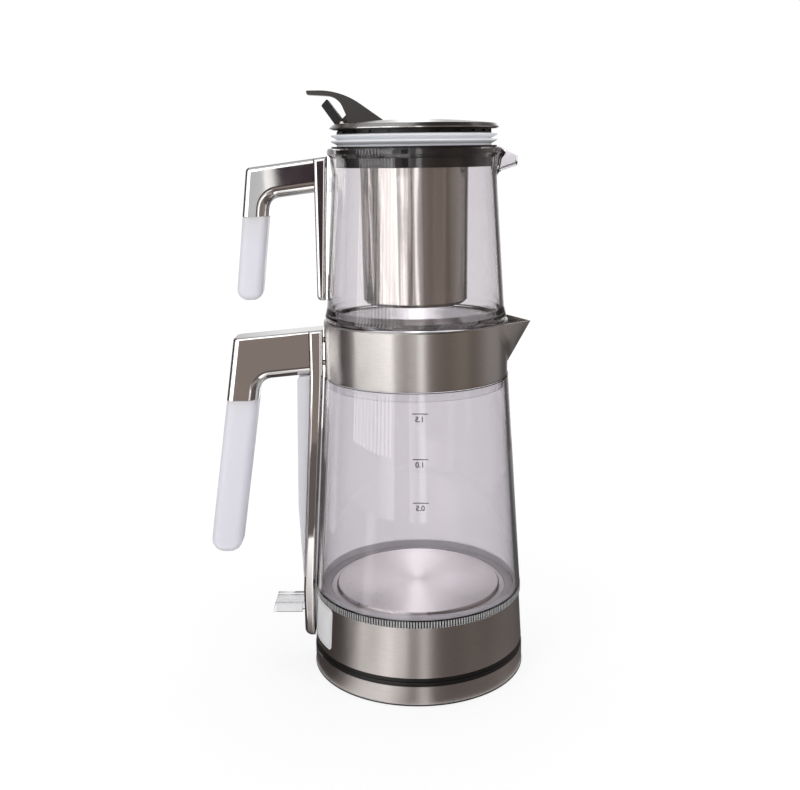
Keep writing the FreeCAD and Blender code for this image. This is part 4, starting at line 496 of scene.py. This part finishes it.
STEEL = (0.64, 0.61, 0.595)
give(brushed_steel("collar_steel", (0.68, 0.655, 0.64), 0.34), "kettle_collar")
give(brushed_steel("foot_steel", STEEL, 0.34), "base_trim_ring", "kettle_shroud")
give(brushed_steel("lid_steel", (0.6, 0.585, 0.575), 0.21), "lid_disc")
print("foot and trim share:", solids["kettle_shroud"].data.materials[0].name)

# %% [markdown]
# The spout is a folded sheet with a satin face, and the heating plate is brushed in fine rings
# and catches a soft bright lobe. Both could have a graph of their own, but with broader or weaker
# lines the same one serves.

# %% Finish the spout and the heating plate
give(brushed_steel("spout_steel", STEEL, 0.28, fine=2200.0), "kettle_spout")
give(brushed_steel("plate_steel", (0.86, 0.83, 0.825), 0.28, along=14.0, depth=0.2),
     "heating_plate")
print("plate:", solids["heating_plate"].data.materials[0].name)

# %% [markdown]
# ## Polished metal
#
# The arms and the spine are plated plastic or zinc with a mirror finish. A metal with no
# roughness would be chrome enough for a small part, but mirror plating is never quite flat or
# clean, so a broad, weak bump bends the reflections a little and a cloudy noise varies the
# roughness where hands touch it. Screws, contacts and cast parts take the same graph, duller.

# %% Make the chrome


def polished(name, color, roughness, sway=0.06):
    """Mirror-plated metal with a faint waviness and handling marks."""
    metal = new_material(name, Base_Color=(*color, 1), Metallic=1.0, Roughness=roughness)
    place = object_place(metal)
    cloud = add_node(metal, "TexNoise", Vector=place, Scale=45.0, Detail=2.0)
    roughen(metal, cloud.outputs["Fac"], roughness * 0.7, roughness * 1.8, 0.35, 0.7)
    waves = add_node(metal, "TexNoise", Vector=place, Scale=28.0, Detail=1.0)
    tilt(metal, waves.outputs["Fac"], sway, 0.002)
    return metal


give(polished("chrome", (0.78, 0.77, 0.765), 0.05),
     "kettle_arm", "handle_spine", "pot_arm", "pot_bar")
give(polished("screw_metal", (0.7, 0.69, 0.67), 0.2),
     "base_screws", "clamp_screws", "switch_pin", "lid_hinge_pin")
give(polished("brass", (0.78, 0.58, 0.3), 0.18), "base_contacts")
give(polished("cast_aluminium", (0.74, 0.74, 0.75), 0.4, sway=0.3), "heat_spreader")
give(polished("element_metal", (0.42, 0.41, 0.4), 0.35, sway=0.2), "heater_element")
print("finish of the contacts:", solids["base_contacts"].data.materials[0].name)

# %% [markdown]
# The infuser's basket is thin sheet that was drawn deep and polished up and down. Drawing leaves
# long upright waves in the wall, and they pull the reflections into wandering stripes. The wall
# could be modelled wavy, but waves as shallow as these would need very many faces. A noise
# stretched along Z and turned into a strong bump does the same.

# %% Finish the basket
basket_metal = new_material("basket_metal", Base_Color=(0.78, 0.755, 0.7, 1), Metallic=1.0,
                            Roughness=0.12)
wave_place = object_place(basket_metal, (1, 1, 0.07))
waves = add_node(basket_metal, "TexNoise", Vector=wave_place, Scale=95.0, Detail=0.4)
wall_waves = tilt(basket_metal, waves.outputs["Fac"], 1.0, 0.0016)
stroke_place = object_place(basket_metal, (1, 1, 0.02))
strokes = add_node(basket_metal, "TexNoise", Vector=stroke_place, Scale=420.0, Detail=1.0)
roughen(basket_metal, strokes.outputs["Fac"], 0.08, 0.2)
tilt(basket_metal, strokes.outputs["Fac"], 0.35, 0.0001, below=wall_waves)
give(basket_metal, "infuser_basket")
print("nodes in the basket's finish:", len(basket_metal.node_tree.nodes))

# %% [markdown]
# ## Glass
#
# Both vessels are borosilicate glass with walls two to three millimetres thick. The solids have
# real inner and outer walls, so a plain glass shader with the right index bends light as the
# real wall does. The glass is faintly violet-grey, and darker where one looks along the wall.
# Part of that is the longer path of the light in the glass there. The rest is painted shade for
# the dark surroundings that show at the edge. A volume that absorbs light could do the first
# part, but it is slow and noisy. Layer Weight tells how far the surface is turned away, and mixes
# in the darker tint near the outline as painted shade. The lever of the switch is clear plastic,
# made the same way.

# %% Make the glass


def clear_glass(name, color, edge, index=1.47, roughness=0.0, start=0.62, clearness=1.0):
    """Clear glass with a painted darker outline and faint drawn streaks."""
    glass = new_material(name, Base_Color=(*color, 1), Roughness=roughness, IOR=index,
                         Transmission_Weight=clearness)
    # The darker tint near the outline is painted shade for the dark surroundings at the edge, and
    # partly the longer path through the glass.
    turned = add_node(glass, "LayerWeight", Blend=0.5)
    painted_outline_shade = add_node(glass, "MapRange", {"interpolation_type": "SMOOTHSTEP"},
                       Value=turned.outputs["Facing"], From_Min=start, From_Max=1.0)
    tint = add_node(glass, "MixRGB", Fac=painted_outline_shade.outputs["Result"],
                    Color1=(*color, 1), Color2=(*edge, 1))
    link(glass, tint.outputs["Color"], "Base Color")
    drawn = add_node(glass, "TexNoise", Vector=object_place(glass, (1, 1, 0.25)),
                     Scale=22.0, Detail=1.0)
    tilt(glass, drawn.outputs["Fac"], 0.03, 0.001)
    return glass


give(clear_glass("kettle_clear_glass", (0.8, 0.779, 0.806), (0.48, 0.465, 0.48), start=0.68),
     "kettle_glass")
give(clear_glass("pot_clear_glass", (0.845, 0.825, 0.848), (0.56, 0.545, 0.56), start=0.74),
     "pot_glass")
# The lever's nearly black outline is painted shade.
give(clear_glass("switch_plastic", (0.82, 0.82, 0.84), (0.12, 0.12, 0.125), index=1.49,
                 roughness=0.02, start=0.3), "switch_lever")
print("kettle's glass:", solids["kettle_glass"].data.materials[0].name)

# %% [markdown]
# The ribbed ring under the kettle's glass is clear plastic with 120 notches round its edge. Each
# notch has two flanks that throw the light sideways, so two dark lines show for each rib. Glass
# alone would need many more rays to show them so crisply, so they are painted shade: the angle
# round the axis tells dark from bright here, and drives the colour, but only out in the teeth.

# %% Make the ribbed ring's plastic
RIB_COUNT = 120
LINES_PER_RIB = 2
NOTCH_BOTTOM = 0.0731
TEETH_START = NOTCH_BOTTOM - 0.0003
ring_plastic = clear_glass("ring_plastic", (0.93, 0.92, 0.93), (0.5, 0.5, 0.51), index=1.49,
                           roughness=0.05, start=0.55, clearness=0.55)
ring_coords = add_node(ring_plastic, "TexCoord")
ring_split = add_node(ring_plastic, "SeparateXYZ", Vector=ring_coords.outputs["Object"]).outputs
ring_turn = calculate(ring_plastic, "ARCTAN2", ring_split["Y"], ring_split["X"])
ring_steps = calculate(ring_plastic, "MULTIPLY", ring_turn, LINES_PER_RIB * RIB_COUNT / math.tau)
from_line = calculate(ring_plastic, "PINGPONG", ring_steps, 0.5)
bright = add_node(ring_plastic, "MapRange", {"interpolation_type": "SMOOTHSTEP"}, Value=from_line,
                  From_Min=0.16, From_Max=0.32)
ring_flat = add_node(ring_plastic, "CombineXYZ", X=ring_split["X"], Y=ring_split["Y"])
ring_away = length(ring_plastic, ring_flat.outputs[0])
inside = calculate(ring_plastic, "LESS_THAN", ring_away, TEETH_START)
lit = calculate(ring_plastic, "MAXIMUM", bright.outputs["Result"], inside)
# Painted shade: dark lines for the notches' flanks, with the light between them.
rib_painted_shade = add_node(ring_plastic, "MixRGB", Fac=lit, Color1=(0.015, 0.015, 0.016, 1),
                     Color2=(0.9, 0.89, 0.9, 1))
link(ring_plastic, rib_painted_shade.outputs["Color"], "Base Color")
give(ring_plastic, "ribbed_ring")
print("ribs:", RIB_COUNT, "dark lines:", LINES_PER_RIB * RIB_COUNT)

# %% [markdown]
# The seals are silicone: nearly clear where they are thin, milky round the heating plate. It could
# be modelled with light that scatters inside, but the seals are seen through glass, so a duller
# glass is enough.

# %% Make the silicone
# Their outlines get the same painted darker shade as the glass.
give(clear_glass("clear_silicone", (0.93, 0.925, 0.94), (0.6, 0.6, 0.62), index=1.4, roughness=0.1),
     "collar_gasket", "steam_tube", "pot_bond")
give(clear_glass("milky_silicone", (0.93, 0.925, 0.94), (0.7, 0.7, 0.72), index=1.4, roughness=0.2,
                 clearness=0.1), "plate_seal")
print("plate's seal:", solids["plate_seal"].data.materials[0].name)

# %% [markdown]
# ## Plastics and rubber
#
# The grips are moulded in a milky plastic that lets light in, so they glow a little from inside.
# Paint-like white would look like china; a Principled shader with subsurface scattering gives the
# glow. The black parts differ mostly in their grain, which a fine noise under the highlight
# gives.

# %% Make the plastics


def moulded(name, color, roughness, grain_scale, grain_depth):
    """Moulded plastic or rubber with a fine even grain."""
    plastic = new_material(name, Base_Color=(*color, 1), Roughness=roughness)
    noise = add_node(plastic, "TexNoise", Vector=object_place(plastic),
                     Scale=grain_scale, Detail=2.0)
    roughen(plastic, noise.outputs["Fac"], roughness - 0.06, roughness + 0.08)
    tilt(plastic, noise.outputs["Fac"], grain_depth, 0.0002)
    return plastic


frosted = moulded("frosted", (0.83, 0.815, 0.885), 0.34, 1500.0, 0.05)
for socket, value in (("Weight", 0.6), ("Radius", (0.008, 0.008, 0.009)), ("Scale", 1.0)):
    shader_of(frosted).inputs["Subsurface " + socket].default_value = value
give(frosted, "kettle_grip", "pot_grip", "spine_back")
black_plastic = moulded("black_plastic", (0.008, 0.0075, 0.0075), 0.32, 2500.0, 0.12)
shader_of(black_plastic).inputs["Specular IOR Level"].default_value = 0.35
give(black_plastic, "base_pan", "base_cover", "base_connector", "kettle_bottom", "kettle_socket",
     "infuser_ring", "lid_liner", "lid_plug")
give(moulded("lever_plastic", (0.032, 0.028, 0.026), 0.2, 1200.0, 0.08), "thumb_lever")
give(moulded("grey_silicone", (0.9, 0.91, 0.95), 0.45, 1800.0, 0.08), "lid_seal")
give(moulded("foot_rubber", (0.03, 0.03, 0.03), 0.7, 700.0, 0.3), "base_foot_ring")
give(moulded("control_plastic", (0.75, 0.73, 0.69), 0.5, 1100.0, 0.1), "boil_control", "switch_box")
print("pieces in black plastic:", black_plastic.users)

# %% [markdown]
# ## The printed level marks
#
# Three marks half a litre apart are printed in black on the outside of the kettle's far wall, to
# be read from the back, so from the front they show through the glass and read backwards. Each
# is a short level line with a plain number under it. They could be a picture on the glass, but a
# picture blurs up close. So line and number are first made flat, then every point is laid onto
# the wall: its sideways place becomes an angle round the axis, and its height gives the radius,
# because the kettle narrows towards the top.

# %% Lay flat print onto the kettle's wall
LEVELS = (("1.5", 0.1675), ("1.0", 0.13035), ("0.5", 0.0939))
LINE_SIDE = 0.0029
LINE_WIDTH = 0.0126
LINE_HEIGHT = 0.0008
NUMBER_SIDE = 0.0024
NUMBER_SIZE = 0.0062
NUMBER_DROP = 0.0046
NUMBER_BOLDNESS = 0.00014
INK_THICKNESS = 0.00003
INK_GAP = 0.00002
GLASS_FOOT_HEIGHT = 0.061
GLASS_FOOT_RADIUS = 0.0736
GLASS_TAPER = 9.9 / 152.3


def wall_radius(height):
    """The outer radius of the kettle's glass at a height."""
    return GLASS_FOOT_RADIUS - (height - GLASS_FOOT_HEIGHT) * GLASS_TAPER


def lay_on_far_wall(print_piece, side, height):
    """Moves flat print, drawn in X and Y, onto the far wall, to be read from behind."""
    for point in print_piece.data.vertices:
        x, y, out = point.co
        level = height + y
        radius = wall_radius(level) + INK_GAP + out
        angle = (side - x) / radius
        point.co = (radius * math.sin(angle), radius * math.cos(angle), level)


def printed_line(height):
    """One level line."""
    deselect_all()
    bpy.ops.mesh.primitive_grid_add(x_subdivisions=12, y_subdivisions=1, size=1, location=(0, 0, 0))
    line = bpy.context.object
    bpy.ops.object.mode_set(mode="EDIT")
    bpy.ops.transform.resize(value=(LINE_WIDTH, LINE_HEIGHT, 1))
    bpy.ops.mesh.extrude_region_move(TRANSFORM_OT_translate={"value": (0, 0, INK_THICKNESS)})
    bpy.ops.object.mode_set(mode="OBJECT")
    lay_on_far_wall(line, LINE_SIDE, height)
    return line


def printed_number(words, height):
    """A plain number, centred under its line."""
    deselect_all()
    bpy.ops.object.text_add(location=(0, 0, 0))
    number = bpy.context.object
    number.data.body = words
    number.data.size = NUMBER_SIZE
    number.data.offset = NUMBER_BOLDNESS
    number.data.align_x = "CENTER"
    number.data.align_y = "CENTER"
    number.data.extrude = INK_THICKNESS / 2
    bpy.ops.object.convert(target="MESH")
    for point in number.data.vertices:
        point.co.z += INK_THICKNESS / 2
    lay_on_far_wall(number, NUMBER_SIDE, height)
    return number


print("glass radius at the marks:", [round(wall_radius(height), 4) for words, height in LEVELS])

# %% [markdown]
# The print is ink, matt and a little uneven. The three lines and numbers could stay six pieces,
# but joined they need one finish, and move with the kettle together as print does.

# %% Print the marks


def rough_grain(material, scale, detail, low, high):
    """Varies the roughness by a fine even noise."""
    noise = add_node(material, "TexNoise", Vector=object_place(material),
                     Scale=scale, Detail=detail)
    roughen(material, noise.outputs["Fac"], low, high)


marks = []
for words, line_height in LEVELS:
    marks.append(printed_line(line_height))
    marks.append(printed_number(words, line_height - NUMBER_DROP))
deselect_all()
for piece in marks:
    piece.select_set(True)
bpy.context.view_layer.objects.active = marks[0]
bpy.ops.object.join()
level_marks = bpy.context.object
level_marks.name = "level_marks"
print_ink = new_material("print_ink", Base_Color=(0.008, 0.008, 0.009, 1), Roughness=0.6)
rough_grain(print_ink, 2200.0, 2.0, 0.35, 0.6)
level_marks.data.materials.clear()
level_marks.data.materials.append(print_ink)
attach(level_marks, "kettle")
print("level marks, triangles:", sum(len(p.vertices) - 2 for p in level_marks.data.polygons))

# %% [markdown]
# ## The bare label
#
# A white film label with rounded corners sits on the steel foot beside the handle. Nothing is
# printed on it but a thin grey frame. A shrinkwrap could press it onto the foot, but bending it
# by angle keeps its size exact. It starts as a flat plate whose corners are bevelled and whose
# face is inset for the frame. It is then cut into upright strips, so that it can follow the round
# wall, and is thickened.

# %% Cut out the label and wrap it on the foot
LABEL_WIDTH = 0.0326
LABEL_HEIGHT = 0.0300
LABEL_LEVEL = 0.0402
LABEL_MIDDLE = math.radians(22.8)
LABEL_CORNER = 0.0032
LABEL_STRIPS = 14
FRAME_INSET = 0.0016
FRAME_WIDTH = 0.00035
FILM_THICKNESS = 0.00014
FILM_GAP = 0.00004
FOOT_BOTTOM_HEIGHT = 0.0207
FOOT_BOTTOM_RADIUS = 0.07495
FOOT_TAPER = 2.05 / 35.7

deselect_all()
bpy.ops.mesh.primitive_plane_add(size=1, location=(0, 0, 0))
label = bpy.context.object
label.name = "foot_label"
bpy.ops.object.mode_set(mode="EDIT")
bpy.ops.transform.resize(value=(LABEL_WIDTH, LABEL_HEIGHT, 1))
bpy.ops.mesh.bevel(offset=LABEL_CORNER, segments=6, affect="VERTICES")
bpy.ops.mesh.select_all(action="SELECT")
bpy.ops.mesh.inset(thickness=FRAME_INSET)
bpy.ops.mesh.inset(thickness=FRAME_WIDTH)
bpy.ops.mesh.select_all(action="SELECT")
for cut in range(1, LABEL_STRIPS):
    side = LABEL_WIDTH * (cut / LABEL_STRIPS - 0.5)
    bpy.ops.mesh.bisect(plane_co=(side, 0, 0), plane_no=(1, 0, 0))
    bpy.ops.mesh.select_all(action="SELECT")
bpy.ops.object.mode_set(mode="OBJECT")


def label_frame_face(face):
    """True for the faces of the thin grey frame."""
    x, y = abs(face.center.x), abs(face.center.y)
    away = min(LABEL_WIDTH / 2 - x, LABEL_HEIGHT / 2 - y)
    return FRAME_INSET <= away <= FRAME_INSET + FRAME_WIDTH


frame_faces = [face.index for face in label.data.polygons if label_frame_face(face)]
for point in label.data.vertices:
    level = LABEL_LEVEL + point.co.y
    radius = FOOT_BOTTOM_RADIUS - (level - FOOT_BOTTOM_HEIGHT) * FOOT_TAPER + FILM_GAP
    angle = LABEL_MIDDLE + point.co.x / radius
    point.co = (-radius * math.cos(angle), -radius * math.sin(angle), level)
film = label.modifiers.new("film", "SOLIDIFY")
film.thickness = FILM_THICKNESS
film.offset = 1.0
bpy.ops.object.modifier_apply(modifier="film")
print("label faces:", len(label.data.polygons), "in the frame:", len(frame_faces))

# %% [markdown]
# The film is white plastic with a slight gloss, and the thin frame is grey ink on it. A picture
# could hold both, but two materials on one piece keep the frame's edge sharp.

# %% Finish the label
label_film = new_material("label_film", Base_Color=(0.86, 0.86, 0.87, 1), Roughness=0.32)
rough_grain(label_film, 900.0, 2.0, 0.26, 0.4)
label_line = new_material("label_line", Base_Color=(0.42, 0.42, 0.43, 1), Roughness=0.4)
rough_grain(label_line, 1500.0, 1.0, 0.34, 0.5)
label.data.materials.append(label_film)
label.data.materials.append(label_line)
for index in frame_faces:
    label.data.polygons[index].material_index = 1
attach(label, "kettle")
print("materials on the label:", len(label.data.materials))

# %% [markdown]
# ## Last checks
#
# A solid that was left out above would still wear the plain colour it came with. One could look
# for such a solid in a picture, but a list finds even the hidden ones. It has to be empty.

# %% Check that every solid has a finish
bare = [name for name, solid in solids.items() if not solid.data.materials[0].use_nodes]
print("solids without a finish:", bare)
